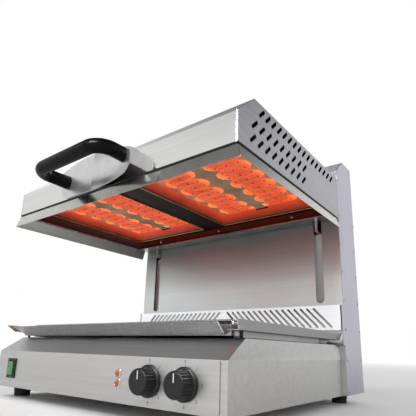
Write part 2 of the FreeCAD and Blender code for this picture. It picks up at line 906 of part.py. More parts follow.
def handle_screw_holes(name):
    """Bars that drill the holes for both handle screws."""
    length = S["handle_screw_length"] + S["casing_skin"]
    start = FRONT - S["handle_screw_length"]
    return [
        rod(f"{name}_{i}", "Y", (x, start, HANDLE_Z), length, handle_hole_radius())
        for i, x in enumerate((-S["handle_left"], S["handle_right"]))
    ]


def make_handle():
    """Round loop handle: a grip, two bends and two arms with wider feet."""
    left, right, bend = -S["handle_left"], S["handle_right"], S["handle_bend"]
    radius = S["handle_radius"]
    arm_length = S["handle_reach"] - bend
    solids = [rod("grip_bar", "X", (left + bend, GRIP_Y, HANDLE_Z), right - left - 2 * bend, radius)]
    foot = S["handle_foot_length"]
    for name, x, turn_x, angle in (("left", left, left + bend, 180), ("right", right, right - bend, 270)):
        solids.append(rod(f"grip_arm_{name}", "Y", (x, GRIP_Y + bend, HANDLE_Z), arm_length, radius))
        solids.append(cone(f"grip_foot_{name}", "Y", (x, FRONT - foot, HANDLE_Z), foot, radius,
                           S["handle_foot_radius"]))
        corner = DOC.addObject("Part::Torus", f"grip_bend_{name}")
        bind(corner, "Radius1", bend)
        bind(corner, "Radius2", radius)
        corner.Angle3 = 90
        place(corner, turn_x, GRIP_Y + bend, HANDLE_Z, Rotation(Vector(0, 0, 1), angle))
        solids.append(corner)
    loop = join("grip_loop", *solids)
    seats = (bracket_block("grip_seat", 0), bracket_flat("grip_flat_seat"))
    name_piece(cut("handle_grip", loop, *seats, *handle_screw_holes("grip_hole")), "handle_grip")


def bracket_block(name, thinner):
    """The space behind the bracket's swept face, less a skin of a given thickness."""
    radius = S["bracket_bend_radius"] + thinner
    start = -S["bracket_bend_start"]
    face = FRONT - S["bracket_skin"]
    right = S["bracket_right"]
    low, high = LEVEL + S["bracket_low"], LEVEL + S["bracket_high"]
    hub = rod(f"{name}_hub", "Z", (start, face - S["bracket_bend_radius"], low), high - low, radius)
    deep = face - S["bracket_bend_radius"]
    swept = box(f"{name}_swept", (start, right), (deep, FRONT), (low, high))
    return cut(f"{name}_behind", swept, hub)


def bracket_flat(name):
    """The flat left half of the bracket's blade, against the front panel."""
    return box(name, (-S["bracket_left"], -S["bracket_bend_start"]),
               (FRONT - S["bracket_skin"], FRONT),
               (LEVEL + S["bracket_low"], LEVEL + S["bracket_high"]))


def make_bracket():
    """Swept steel bracket: flat at the left, curling forward to an end plate at the right.

    Its upper edge is an arch that is highest left of the middle.
    """
    skin = S["bracket_skin"]
    outer = bracket_block("bracket_outer", 0)
    inner = bracket_block("bracket_inner", skin)
    low, high = LEVEL + S["bracket_low"], LEVEL + S["bracket_high"]
    left, right = -S["bracket_left"], S["bracket_right"]
    blade = cut("bracket_blade", outer, inner)
    flat = bracket_flat("bracket_flat")
    cheek_box = box("bracket_cheek_box", (right - skin, right),
                    (FRONT - S["bracket_bend_radius"], FRONT), (low, high))
    cheek = overlap("bracket_cheek", cheek_box, outer)
    whole = join("bracket_whole", blade, flat, cheek)
    arch_radius, reach = S["bracket_arch_radius"], FRONT - GRIP_Y
    crown = (-S["bracket_crown"], GRIP_Y, high - arch_radius)
    arched = overlap("bracket_arched", whole, rod("bracket_arch", "Y", crown, reach, arch_radius))
    corner = S["bracket_corner"]
    corner_box = box("bracket_corner_box", (left, left + corner), (GRIP_Y, FRONT),
                     (low, low + corner))
    corner_round = rod("bracket_corner_round", "Y", (left + corner, GRIP_Y, low + corner), reach,
                       corner)
    rounding = cut("bracket_rounding", corner_box, corner_round)
    nick = frustum(
        "bracket_nick",
        ((right - S["bracket_nick_width"], right + skin), (GRIP_Y, FRONT)),
        ((right, right + skin), (GRIP_Y, FRONT)),
        (low, low + S["bracket_nick_height"]),
    )
    holes = handle_screw_holes("bracket_hole")
    name_piece(cut("handle_bracket", arched, nick, rounding, *holes), "handle_bracket")


def make_handle_screws():
    """Two screws that hold the handle from inside the front panel."""
    screws = []
    inside = FRONT + S["casing_skin"]
    for i, x in enumerate((-S["handle_left"], S["handle_right"])):
        shank = rod(f"handle_screw_shank_{i}", "Y", (x, FRONT - S["handle_screw_length"], HANDLE_Z),
                    S["handle_screw_length"] + S["casing_skin"], S["handle_screw_radius"])
        head = rod(f"handle_screw_head_{i}", "Y", (x, inside, HANDLE_Z),
                   S["handle_screw_head_height"], S["handle_screw_head"])
        screws.append(join(f"handle_screw_{i}", shank, head))
    name_piece(group("handle_screws", *screws), "handle_screws")


# Lift gear

def make_arm():
    """Lift arm: a plate through the tower's slot with a flange inside the hood, and its twin."""
    x, half = SLOT_X, S["arm_skin"] / 2
    inside = REAR - S["back_skin"]
    seat = inside - S["arm_flange_skin"]
    web = box("arm_web", (x - half, x + half), (seat, CARRIAGE_FRONT),
              (LEVEL - S["arm_drop"], LEVEL + S["arm_rise"]))
    wide = S["arm_flange_width"] / 2
    flange = box("arm_flange", (x - wide, x + wide), (seat, inside),
                 (LEVEL + S["arm_flange_low"], LEVEL + S["arm_flange_high"]))
    right = name_piece(join("lift_arm_right", web, flange), "lift_arm_right")
    mirrored("lift_arm_left", right)


def make_carriage():
    """Carriage that slides on the guide rod, with an ear for the gas strut, and its twin."""
    x, half = SLOT_X, S["carriage_width"] / 2
    y = (CARRIAGE_FRONT, CARRIAGE_FRONT + S["carriage_depth"])
    low, high = LEVEL - S["carriage_drop"], LEVEL + S["carriage_rise"]
    block = box("carriage_block", (x - half, x + half), y, (low, high))
    ear = box("carriage_ear", (x - half - S["ear_reach"], x - half), y,
              (high - S["ear_thickness"], high))
    bore = rod("carriage_bore", "Z", (x, GUIDE_Y, low), high - low,
               S["bush_radius"] + S["running_gap"])
    body = join("carriage_body", block, ear)
    right = name_piece(cut("carriage_right", body, bore), "carriage_right")
    mirrored("carriage_left", right)


def make_shutters():
    """Strips that hang from the carriages and close the tower's slots below the arms."""
    half, top = S["carriage_width"] / 2, LEVEL - S["arm_drop"] - S["arm_clearance"]
    face = CARRIAGE_FRONT - S["shutter_standoff"]
    strips = []
    for x in (-SLOT_X, SLOT_X):
        i = len(strips)
        span = (x - half, x + half)
        strip = box(f"shutter_strip_{i}", span, (face, face + S["shutter_skin"]),
                    (top - S["shutter_length"], top))
        seat = box(f"shutter_seat_{i}", span, (face, CARRIAGE_FRONT), (top - S["shutter_seat"], top))
        strips.append(join(f"shutter_{i}", strip, seat))
    name_piece(group("slot_shutters", *strips), "slot_shutters")


def make_bushes():
    """Plain bushes at both ends of each carriage's bore."""
    bushes = []
    low = LEVEL - S["carriage_drop"]
    high = LEVEL + S["carriage_rise"] - S["bush_length"]
    for sign in (-1, 1):
        for z in (low, high):
            centre = (sign * SLOT_X, GUIDE_Y, z)
            i = len(bushes)
            ring = rod(f"bush_ring_{i}", "Z", centre, S["bush_length"], S["bush_radius"])
            hole = rod(f"bush_hole_{i}", "Z", centre, S["bush_length"],
                       S["guide_radius"] + S["running_gap"])
            bushes.append(cut(f"bush_{i}", ring, hole))
    name_piece(group("guide_bushes", *bushes), "guide_bushes")


def make_strut():
    """Gas strut beside each guide rod: the rod hangs from the carriage's ear."""
    ear = LEVEL + S["carriage_rise"] - S["ear_thickness"]
    centre = (STRUT_X, GUIDE_Y)
    rod_right = rod("strut_rod_right", "Z", (*centre, ear - S["strut_rod_length"]),
                    S["strut_rod_length"], S["strut_rod_radius"])
    name_piece(rod_right, "strut_rod_right")
    mirrored("strut_rod_left", rod_right)
    foot = LEVEL - S["lower_crossbar_drop"]
    tube = rod("strut_tube", "Z", (*centre, foot), S["strut_length"], S["strut_radius"])
    bore = rod("strut_bore", "Z", (*centre, foot + S["strut_floor"]), S["strut_length"],
               S["strut_rod_radius"] + S["running_gap"])
    right = name_piece(cut("strut_cylinder_right", tube, bore), "strut_cylinder_right")
    mirrored("strut_cylinder_left", right)


def make_crossbars():
    """Upper and lower bars across the tower, which hold both guide rods."""
    y = (GUIDE_Y - S["crossbar_width"] / 2, GUIDE_Y + S["crossbar_width"] / 2)
    levels = {
        "upper_crossbar": LEVEL + S["upper_crossbar_rise"],
        "lower_crossbar": LEVEL - S["lower_crossbar_drop"] - S["crossbar_skin"],
    }
    for label, z in levels.items():
        bar = box(f"{label}_bar", (-INNER, INNER), y, (z, z + S["crossbar_skin"]))
        holes = [
            rod(f"{label}_hole_{i}", "Z", (sign * SLOT_X, GUIDE_Y, z), S["crossbar_skin"],
                S["guide_radius"] + S["running_gap"])
            for i, sign in enumerate((-1, 1))
        ]
        name_piece(cut(label, bar, *holes), label)


def make_guide_rod():
    """Upright guide rod between the crossbars, and its twin."""
    low = LEVEL - S["lower_crossbar_drop"] - S["crossbar_skin"]
    high = LEVEL + S["upper_crossbar_rise"] + S["crossbar_skin"]
    right = rod("guide_rod_right", "Z", (SLOT_X, GUIDE_Y, low), high - low,
                S["guide_radius"])
    name_piece(right, "guide_rod_right")
    mirrored("guide_rod_left", right)


# Tower

TOWER_TOP = LEVEL + S["tower_rise"]
TOWER_BEND = TOWER_TOP - S["tower_chamfer_rise"]
BAND_FRONT = TOWER_FRONT - S["band_reach"]
BAND_TOP = DECK + S["band_top"]


def make_tower_side():
    """Side panel of the tower, from the floor of the base to the cap, and its twin."""
    foot = S["foot_height"]
    right = bent_sheet("tower_side_right", (INNER, HALF), [
        (TOWER_FRONT, foot), (TOWER_REAR, foot), (TOWER_REAR, TOWER_TOP),
        (TOWER_FRONT + S["tower_chamfer_depth"], TOWER_TOP), (TOWER_FRONT, TOWER_BEND),
        (TOWER_FRONT, BAND_TOP), (BAND_FRONT, BAND_TOP), (BAND_FRONT, DECK), (TOWER_FRONT, DECK),
    ])
    mirrored("tower_side_left", right)


def make_tower_front():
    """Front panel of the tower with the two upright slots that the arms run in."""
    body = new_body("tower_front")
    sketch = new_sketch(body, "tower_front_outline", "XZ_Plane", -TOWER_FRONT)
    draw_outline(sketch, [
        (-INNER, DECK), (INNER, DECK), (INNER, TOWER_BEND), (-INNER, TOWER_BEND),
    ])
    add_pad(body, "tower_front_sheet", sketch, S["casing_skin"], backwards=True)
    slots = new_sketch(body, "tower_front_slots", "XZ_Plane", -TOWER_FRONT)
    radius = S["slot_width"] / 2
    low, high = BAND_TOP + S["slot_foot"] + radius, LEVEL + S["slot_head"] - radius
    for sign in (-1, 1):
        x = sign * SLOT_X
        draw_slot(slots, (x, low), (x, high), radius)
    add_pocket(body, "tower_front_slotting", slots)


def make_tower_cap():
    """Chamfer and top of the tower, folded from one sheet."""
    skin = S["casing_skin"]
    brow = TOWER_FRONT + S["tower_chamfer_depth"]
    rear = TOWER_REAR - skin
    bent_sheet("tower_cap", (-INNER, INNER), [
        (TOWER_FRONT, TOWER_BEND), (TOWER_FRONT + skin, TOWER_BEND),
        (brow + skin / 2, TOWER_TOP - skin), (rear, TOWER_TOP - skin), (rear, TOWER_TOP),
        (brow, TOWER_TOP),
    ])


def gland_x():
    """Distance of the cable gland to the left of the middle."""
    return S["gland_inset"] - HALF


def make_tower_back():
    """Back panel with two columns of level vents and the hole for the cable gland."""
    body = new_body("tower_back")
    sketch = new_sketch(body, "tower_back_outline", "XZ_Plane", -TOWER_REAR)
    foot = S["foot_height"]
    draw_outline(sketch, [
        (-INNER, foot), (INNER, foot), (INNER, TOWER_TOP), (-INNER, TOWER_TOP),
    ])
    add_pad(body, "tower_back_sheet", sketch, S["casing_skin"])
    hole = new_sketch(body, "tower_back_hole", "XZ_Plane", -TOWER_REAR)
    draw_circle(hole, gland_x(), S["gland_level"], S["gland_radius"])
    add_pocket(body, "tower_back_drill", hole)
    half = S["tower_vent_width"] / 2
    for name, x in (("left", -S["tower_vent_shift"]), ("right", S["tower_vent_shift"])):
        vents = new_sketch(body, f"tower_vent_{name}", "XZ_Plane", -TOWER_REAR)
        level = DECK + S["tower_vent_first"]
        draw_slot(vents, (x - half, level), (x + half, level), S["tower_vent_radius"])
        pocket = add_pocket(body, f"tower_vent_cut_{name}", vents)
        column = body.newObject("PartDesign::LinearPattern", f"tower_vent_column_{name}")
        column.Originals = [pocket]
        column.Direction = (vents, ["V_Axis"])
        bind(column, "Length", S["tower_vent_pitch"] * (S["tower_vent_count"] - 1))
        bind(column, "Occurrences", S["tower_vent_count"])
        body.Tip = column


def make_louvre_band():
    """Channel across the foot of the tower, with slanted slots that meet in a V."""
    skin = S["band_skin"]
    half = INNER - S["band_end_gap"]
    low = BAND_TOP - S["band_height"]
    body = bent_sheet("louvre_band", (-half, half), [
        (BAND_FRONT, low), (TOWER_FRONT, low), (TOWER_FRONT, low + skin),
        (BAND_FRONT + skin, low + skin), (BAND_FRONT + skin, BAND_TOP - skin),
        (TOWER_FRONT, BAND_TOP - skin), (TOWER_FRONT, BAND_TOP), (BAND_FRONT, BAND_TOP),
    ])
    top = BAND_TOP - S["louvre_margin"]
    run = S["louvre_run"]
    row = half - S["louvre_first"] - run - S["louvre_end_margin"]
    pitch = row / (S["louvre_count"] - 1)
    for name, sign in (("right", 1), ("left", -1)):
        sketch = new_sketch(body, f"louvre_{name}_outline", "XZ_Plane", -BAND_FRONT)
        x = sign * S["louvre_first"]
        draw_slot(sketch, (x, top), (x + sign * run, top - run), S["louvre_radius"])
        pocket = body.newObject("PartDesign::Pocket", f"louvre_{name}")
        pocket.Profile = sketch
        pocket.Midplane = True
        bind(pocket, "Length", S["band_reach"])
        body.Tip = pocket
        add_row(body, f"louvre_{name}_row", pocket, sketch, pitch, S["louvre_count"],
                backwards=sign < 0)


# Base

def make_base_shell():
    """Lower casing: walls with flanges at the rear, a sloping front shoulder, and the deck."""
    skin = S["base_skin"]
    floor, shoulder = S["foot_height"], DECK - S["shoulder_rise"]
    half = BASE_HALF
    side, front = half - S["shoulder_side"], BASE_FRONT + S["shoulder_front"]
    rear = TOWER_FRONT
    walls = box("base_walls", (-half, half), (BASE_FRONT, rear), (floor, shoulder))
    slopes = frustum("base_slopes", ((-half, half), (BASE_FRONT, rear)),
                     ((-side, side), (front, rear)), (shoulder, DECK))
    flanges = [box(f"base_flange_{word}", x, (rear - skin, rear), (floor, DECK))
               for word, x in (("left", (-HALF, -side)), ("right", (side, HALF)))]
    hollow = box("base_hollow", (skin - half, half - skin), (BASE_FRONT + skin, rear),
                 (floor, shoulder))
    under = frustum(
        "base_under",
        ((skin - half, half - skin), (BASE_FRONT + skin, rear)),
        ((skin - side, side - skin), (front + skin, rear)),
        (shoulder, DECK - skin),
    )
    wide = HALF - S["window_margin"]
    window = box("base_window", (-wide, wide), (BASE_FRONT, BASE_FRONT + skin),
                 (floor + S["window_low"], floor + S["window_high"]))
    whole = join("base_block", walls, slopes, *flanges)
    inside = join("base_inside", hollow, under)
    name_piece(cut("base_shell", whole, inside, window), "base_shell")


def make_control_panel():
    """Flat panel over the window of the base, drilled for the knobs, lamps and switch."""
    body = new_body("control_panel")
    sketch = new_sketch(body, "control_panel_outline", "XZ_Plane", -BASE_FRONT)
    wide = HALF - S["panel_margin"]
    low = S["foot_height"] + S["window_low"] - S["panel_overlap"]
    high = S["foot_height"] + S["window_high"] + S["panel_overlap"]
    draw_outline(sketch, [(-wide, low), (wide, low), (wide, high), (-wide, high)])
    add_pad(body, "control_panel_sheet", sketch, S["panel_skin"])
    holes = new_sketch(body, "control_panel_holes", "XZ_Plane", -BASE_FRONT)
    level = S["control_level"]
    for x in (LEFT_KNOB_X, RIGHT_KNOB_X):
        draw_circle(holes, x, level, S["spindle_radius"] + S["running_gap"])
    for z in lamp_levels():
        draw_circle(holes, LAMP_X, z, S["lamp_radius"])
    half, tall = S["switch_width"] / 2, S["switch_height"] / 2
    x = SWITCH_X
    draw_outline(holes, [
        (x - half, level - tall), (x + half, level - tall),
        (x + half, level + tall), (x - half, level + tall),
    ])
    add_pocket(body, "control_panel_drill", holes)


def lamp_levels():
    """Heights of the two pilot lamps, one above the other."""
    half = S["lamp_spread"] / 2
    return (S["control_level"] - half, S["control_level"] + half)


def make_base_floor():
    """Floor plate inside the base and the tower."""
    half = BASE_HALF - S["base_skin"]
    low = S["foot_height"]
    plate = box("base_floor_front", (-half, half), (BASE_FRONT + S["base_skin"], TOWER_FRONT),
                (low, low + S["floor_skin"]))
    tail = box("base_floor_tail", (-INNER, INNER), (TOWER_FRONT, TOWER_REAR - S["casing_skin"]),
               (low, low + S["floor_skin"]))
    name_piece(join("base_floor_plate", plate, tail), "base_floor")


def make_feet():
    """Four rubber feet."""
    feet = []
    inset = S["foot_inset"]
    for x in (inset - HALF, HALF - inset):
        for y in (BASE_FRONT + inset, TOWER_REAR - inset):
            feet.append(cone(f"foot_{len(feet)}", "Z", (x, y, 0), S["foot_height"],
                             S["foot_radius"] - S["foot_taper"], S["foot_radius"]))
    name_piece(group("feet", *feet), "feet")


# Drip tray, its rails and the grid

RAIL_TOP = DECK + S["rail_top"]
TRAY_BOTTOM = DECK + S["tray_bottom"]
TRAY_TOP = TRAY_BOTTOM + S["tray_height"]
RUNNER_X = HALF - S["runner_inset"]
TRAY_HALF = RUNNER_X - S["tray_side_gap"]
TRAY_Y = (FRONT + S["tray_front"], BAND_FRONT - S["tray_rear_gap"])


def make_side_rail():
    """Flared rail beside the drip tray, with its front end cut on a slant, and its twin."""
    skin = S["rail_skin"]
    edge = HALF - S["rail_edge"]
    knee = edge - S["rail_flare"]
    low = RAIL_TOP - S["rail_fall"]
    start = RUNNER_X
    y = FRONT + S["rail_front"]
    right = long_profile(
        "side_rail_right",
        (y, BAND_FRONT - S["rail_end_gap"]),
        [
            (start, low - skin), (knee + skin / 2, low - skin), (edge, RAIL_TOP - skin / 2),
            (edge, RAIL_TOP), (edge - skin, RAIL_TOP), (knee - skin / 2, low), (start, low),
        ],
    )
    mitre = new_sketch(right, "side_rail_mitre", "YZ_Plane", start)
    draw_outline(mitre, [
        (y, RAIL_TOP), (y, low - skin), (y + S["rail_mitre"], low - skin),
    ])
    add_pocket(right, "side_rail_end", mitre)
    mirrored("side_rail_left", right)


def make_runners():
    """Angle runners that the drip tray slides on, under the side rails."""
    skin = S["runner_skin"]
    x = RUNNER_X
    ledge_top = TRAY_BOTTOM - S["tray_gap"]
    y = (FRONT + S["runner_front"], FRONT + S["runner_front"] + S["runner_length"])
    web = box("runner_web", (x, x + skin), y, (ledge_top - skin, RUNNER_TOP))
    ledge = box("runner_ledge", (x - S["runner_ledge"], x), y, (ledge_top - skin, ledge_top))
    right = join("runner_right", web, ledge)
    name_piece(right, "tray_runner_right")
    mirrored("tray_runner_left", right)


def make_posts():
    """Small posts on the deck: one under the front of each rail, short ones under the ledge."""
    posts = []
    count = int(S["post_count"].value)
    ledge_low = TRAY_BOTTOM - S["tray_gap"] - S["runner_skin"]
    for sign in (-1, 1):
        for i in range(count):
            y = FRONT + S["post_front"] + i * S["post_pitch"]
            x = RUNNER_X + S["post_setback"] if i == 0 else RUNNER_X - S["runner_ledge"] / 2
            top = RUNNER_TOP if i == 0 else ledge_low
            posts.append(rod(f"rail_post_{len(posts)}", "Z", (sign * x, y, DECK), top - DECK,
                             S["post_radius"]))
    name_piece(group("rail_posts", *posts), "rail_posts")


def make_drip_tray():
    """Shallow pan with a hem on both sides and a sloping lip along the front."""
    skin = S["tray_skin"]
    half, y = TRAY_HALF, TRAY_Y
    block = box("tray_block", (-half, half), y, (TRAY_BOTTOM, TRAY_TOP))
    inside = half - skin
    floor = TRAY_BOTTOM + skin
    hollow = box("tray_hollow", (-inside, inside), (y[0] + skin, y[1] - skin),
                 (floor, TRAY_TOP - skin))
    mouth = half - S["tray_hem"]
    opening = box("tray_mouth", (-mouth, mouth), (y[0] + skin, y[1] - skin),
                  (TRAY_TOP - skin, TRAY_TOP))
    pan = cut("tray_pan", block, hollow, opening)
    top, bottom = half - S["lip_top_inset"], half - S["lip_bottom_inset"]
    lip_front = FRONT + S["lip_front"]
    lip = frustum(
        "tray_lip",
        ((-bottom, bottom), (y[0], y[0] + 2 * skin)),
        ((-top, top), (lip_front, lip_front + 2 * skin)),
        (TRAY_BOTTOM, DECK + S["lip_top"]),
    )
    name_piece(join("drip_tray", pan, lip), "drip_tray")


def make_grid():
    """Wire grid that lies on the hems of the drip tray: cross wires spot-welded on two bars."""
    bar, wire = S["grid_bar_radius"], S["grid_wire_radius"]
    half = TRAY_HALF - S["grid_side_gap"]
    z = TRAY_TOP + S["grid_gap"] + bar
    front = TRAY_Y[0] + S["grid_front_gap"]
    length = TRAY_Y[1] - S["grid_rear_gap"] - front
    bars = [
        rod(f"grid_side_{i}", "Y", (sign * half, front, z), length, bar)
        for i, sign in enumerate((-1, 1))
    ]
    count = int(S["grid_wire_count"].value)
    inset = 2 * bar
    pitch = (length - 2 * inset) / (count - 1)
    lift = z + bar + wire
    for i in range(count):
        y = front + inset + i * pitch
        bars.append(rod(f"grid_wire_{i}", "X", (-half, y, lift), 2 * half, wire))
    name_piece(group("wire_grid", *bars), "wire_grid")


# Controls

RIGHT_KNOB_X = HALF - S["right_knob_inset"]
LEFT_KNOB_X = RIGHT_KNOB_X - S["knob_spacing"]
LAMP_X = LEFT_KNOB_X - S["lamp_spacing"]
SWITCH_X = S["switch_inset"] - HALF


def make_knob(label, x):
    """Control knob with a grip ridge, a skirt and its own spindle."""
    level = S["control_level"]
    seat = PANEL_FACE - S["knob_gap"]
    skirt_front = seat - S["knob_skirt_depth"]
    nose = skirt_front - S["knob_depth"]
    skirt = rod(f"{label}_skirt", "Y", (x, skirt_front, level), S["knob_skirt_depth"],
                S["knob_skirt_radius"])
    body = cone(f"{label}_body", "Y", (x, nose, level), S["knob_depth"], S["knob_top_radius"],
                S["knob_radius"])
    spindle = rod(f"{label}_spindle", "Y", (x, seat, level), S["spindle_length"],
                  S["spindle_radius"])
    name_piece(join(label, skirt, body, spindle), label)


def make_regulators():
    """Energy regulators behind the panel, each with a bore for its knob's spindle."""
    units = []
    for x in (LEFT_KNOB_X, RIGHT_KNOB_X):
        half, tall = S["regulator_width"] / 2, S["regulator_height"] / 2
        level = S["control_level"]
        i = len(units)
        case = box(f"regulator_case_{i}", (x - half, x + half),
                   (BASE_FRONT, BASE_FRONT + S["regulator_depth"]), (level - tall, level + tall))
        bore = rod(f"regulator_bore_{i}", "Y", (x, BASE_FRONT, level), S["spindle_length"],
                   S["spindle_radius"] + S["running_gap"])
        units.append(cut(f"regulator_{i}", case, bore))
    name_piece(group("energy_regulators", *units), "energy_regulators")


def make_lamps():
    """Two pilot lamps with a round bezel each."""
    lamps = []
    for z in lamp_levels():
        i = len(lamps)
        lens = rod(f"lamp_lens_{i}", "Y", (LAMP_X, PANEL_FACE - S["lamp_reach"], z),
                   S["lamp_reach"] + S["lamp_depth"], S["lamp_radius"])
        lamps.append(lens)
    name_piece(group("pilot_lamps", *lamps), "pilot_lamps")


def make_switch():
    """Rocker switch: a housing let into the panel, and the rocker in it."""
    x, level = SWITCH_X, S["control_level"]
    half, tall, bezel = S["switch_width"] / 2, S["switch_height"] / 2, S["switch_bezel"]
    front = PANEL_FACE - S["switch_bezel_skin"]
    rim = box("switch_rim", (x - half - bezel, x + half + bezel), (front, PANEL_FACE),
              (level - tall - bezel, level + tall + bezel))
    case = box("switch_case", (x - half, x + half), (front, BASE_FRONT + S["switch_depth"]),
               (level - tall, level + tall))
    gap = S["rocker_gap"]
    wide, high = half - bezel / 2, tall - bezel / 2
    pit = box("switch_pit", (x - wide, x + wide), (front, front + S["rocker_depth"] + 2 * gap),
              (level - high, level + high))
    housing = join("switch_block", rim, case)
    nose, tail = front - S["rocker_proud"], front + S["rocker_depth"]
    reach = wide + S["rocker_pin_reach"]
    start = (x - reach, (nose + tail) / 2, level)
    pin = rod("rocker_pin", "X", start, 2 * reach, S["rocker_pin_radius"])
    bore = rod("rocker_bore", "X", start, 2 * reach, S["rocker_pin_radius"] + S["running_gap"])
    name_piece(cut("switch_case_cut", housing, pit, bore), "switch_housing")
    wide, high = wide - gap, high - gap
    key = box("rocker_key", (x - wide, x + wide), (nose, tail), (level - high, level + high))
    name_piece(join("rocker_on_pin", key, pin), "rocker")


def make_terminal_block():
    """Mains terminal block on the floor behind the lower crossbar, near the cable gland."""
    x, half = gland_x(), S["terminal_block_width"] / 2
    low = S["foot_height"] + S["floor_skin"]
    front = GUIDE_Y + S["crossbar_width"] / 2 + S["terminal_block_gap"]
    block = box("terminal_block", (x - half, x + half), (front, front + S["terminal_block_depth"]),
                (low, low + S["terminal_block_height"]))
    name_piece(block, "terminal_block")


def make_gland():
    """Cable gland in the back panel: a bush with a nut outside and one inside."""
    x, z = gland_x(), S["gland_level"]
    nut = S["gland_nut_height"]
    inside = TOWER_REAR - S["casing_skin"] - nut
    tube = rod("gland_tube", "Y", (x, inside, z), TOWER_REAR + S["gland_reach"] - inside,
               S["gland_radius"])
    inner_nut = rod("gland_inner_nut", "Y", (x, inside, z), nut, S["gland_nut_radius"])
    outer_nut = rod("gland_outer_nut", "Y", (x, TOWER_REAR, z), nut, S["gland_nut_radius"])
    bore = rod("gland_bore", "Y", (x, inside, z), TOWER_REAR + S["gland_reach"] - inside,
               S["gland_bore_radius"])
    whole = join("gland_whole", tube, inner_nut, outer_nut)
    name_piece(cut("cable_gland", whole, bore), "cable_gland")


# Small fasteners

def make_casing_screws():
    """Screw heads up the front and rear edges of both tower sides."""
    screws = []
    head = S["screw_head_height"]
    inset = S["casing_screw_inset"]
    for start in (HALF, -HALF - head):
        for y in (TOWER_FRONT + inset, TOWER_REAR - inset):
            for i in range(int(S["casing_screw_count"].value)):
                z = S["foot_height"] + inset + i * S["casing_screw_pitch"]
                screws.append(rod(f"casing_screw_{len(screws)}", "X", (start, y, z), head,
                                  S["screw_head_radius"]))
    name_piece(group("casing_screws", *screws), "casing_screws")


def make_skirt_screws():
    """Screw heads under the flange of the skirt and on the rear of the liner."""
    screws = []
    head, radius = S["screw_head_height"], S["screw_head_radius"]
    x = SKIRT_MOUTH + radius
    z = LEVEL - S["skirt_gap"] - S["casing_skin"] - head
    for sign in (-1, 1):
        for i in range(int(S["skirt_screw_count"].value)):
            y = FRONT + S["skirt_screw_first"] + i * S["skirt_screw_pitch"]
            screws.append(rod(f"skirt_screw_{len(screws)}", "Z", (sign * x, y, z), head, radius))
    for i in (-1, 0, 1):
        centre = (i * S["rear_screw_pitch"], HEEL - S["liner_skin"] - head,
                  LEVEL + S["rear_screw_level"])
        screws.append(rod(f"rear_screw_{i + 1}", "Y", centre, head, radius))
    name_piece(group("skirt_screws", *screws), "skirt_screws")


def write_pieces():
    """Checks every object and writes each piece to its own file."""
    DOC.recompute()
    for obj in DOC.Objects:
        if "Invalid" in obj.State or "Error" in obj.State:
            raise RuntimeError(f"{obj.Label} failed: {obj.State}")
    os.makedirs("parts", exist_ok=True)
    for obj in PIECES:
        shape = obj.Shape
        if shape.isNull() or not shape.isValid() or not shape.Solids:
            raise RuntimeError(f"{obj.Label} has no valid solid")
        shape.exportStep(f"parts/{obj.Label}.step")
    print(f"{len(PIECES)} pieces written")


make_hood_cover()
make_hood_side()
make_hood_back()
make_skirt()
make_liner()
make_reflector()
make_zone_frame()
make_board()
make_heat_shield()
make_ribbons()
make_staples()
make_terminals()
make_handle()
make_bracket()
make_handle_screws()
make_arm()
make_carriage()
make_shutters()
make_bushes()
make_strut()
make_crossbars()
make_guide_rod()
make_tower_side()
make_tower_front()
make_tower_cap()
make_tower_back()
make_louvre_band()
make_base_shell()
make_control_panel()
make_base_floor()
make_feet()
make_side_rail()
make_runners()
make_posts()
make_drip_tray()
make_grid()
make_knob("zone_knob_left", LEFT_KNOB_X)
make_knob("zone_knob_right", RIGHT_KNOB_X)
make_regulators()
make_lamps()
make_switch()
make_terminal_block()
make_gland()
make_casing_screws()
make_skirt_screws()
write_pieces()
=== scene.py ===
"""Looks for the salamander grill: finishes, lamps, and the parts that need more detail.

Metres, in the frame of the solids: +X to the right, +Y to the back, +Z up, floor at zero.
"""
import bmesh
import bpy
import json
import math
from mathutils import Matrix, Vector


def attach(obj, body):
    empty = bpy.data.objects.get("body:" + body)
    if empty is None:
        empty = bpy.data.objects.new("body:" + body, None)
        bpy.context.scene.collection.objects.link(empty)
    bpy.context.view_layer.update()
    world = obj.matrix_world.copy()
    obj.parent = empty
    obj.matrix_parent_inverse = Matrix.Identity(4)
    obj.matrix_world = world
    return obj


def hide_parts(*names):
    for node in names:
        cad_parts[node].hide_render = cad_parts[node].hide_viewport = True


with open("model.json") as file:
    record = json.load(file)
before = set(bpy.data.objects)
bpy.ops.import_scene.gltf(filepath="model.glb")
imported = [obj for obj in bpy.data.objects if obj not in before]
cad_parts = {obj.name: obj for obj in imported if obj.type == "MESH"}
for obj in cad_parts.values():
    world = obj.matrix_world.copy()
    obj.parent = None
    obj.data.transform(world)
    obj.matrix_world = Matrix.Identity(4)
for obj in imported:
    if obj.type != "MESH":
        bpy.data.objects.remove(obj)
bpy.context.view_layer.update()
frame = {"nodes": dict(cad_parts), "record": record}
NODES = frame["nodes"]
BODY_OF = {node: body for body, nodes in frame["record"]["behaviour"]["bodies"].items()
           for node in nodes}
MM = 0.001


# Places and sizes, in millimetres, most of them measured on the solids

def limits(node):
    """The low and the high corner of a solid, in millimetres."""
    places = [vert.co / MM for vert in NODES[node].data.vertices]
    return [[pick(place[axis] for place in places) for axis in range(3)] for pick in (min, max)]


def middle(node):
    """The centre of a solid's box, to the nearest 0.05 mm."""
    return [round((low + high) * 10) / 20 for low, high in zip(*limits(node))]


CASING_SIDE = limits("base_shell")[1][0]
HOOD_FRONT = limits("hood_cover")[0][1]
HOOD_LEVEL = limits("hood_cover")[0][2]
PANEL_FACE = limits("control_panel")[0][1]
REAR_FACE = limits("tower_back")[1][1]
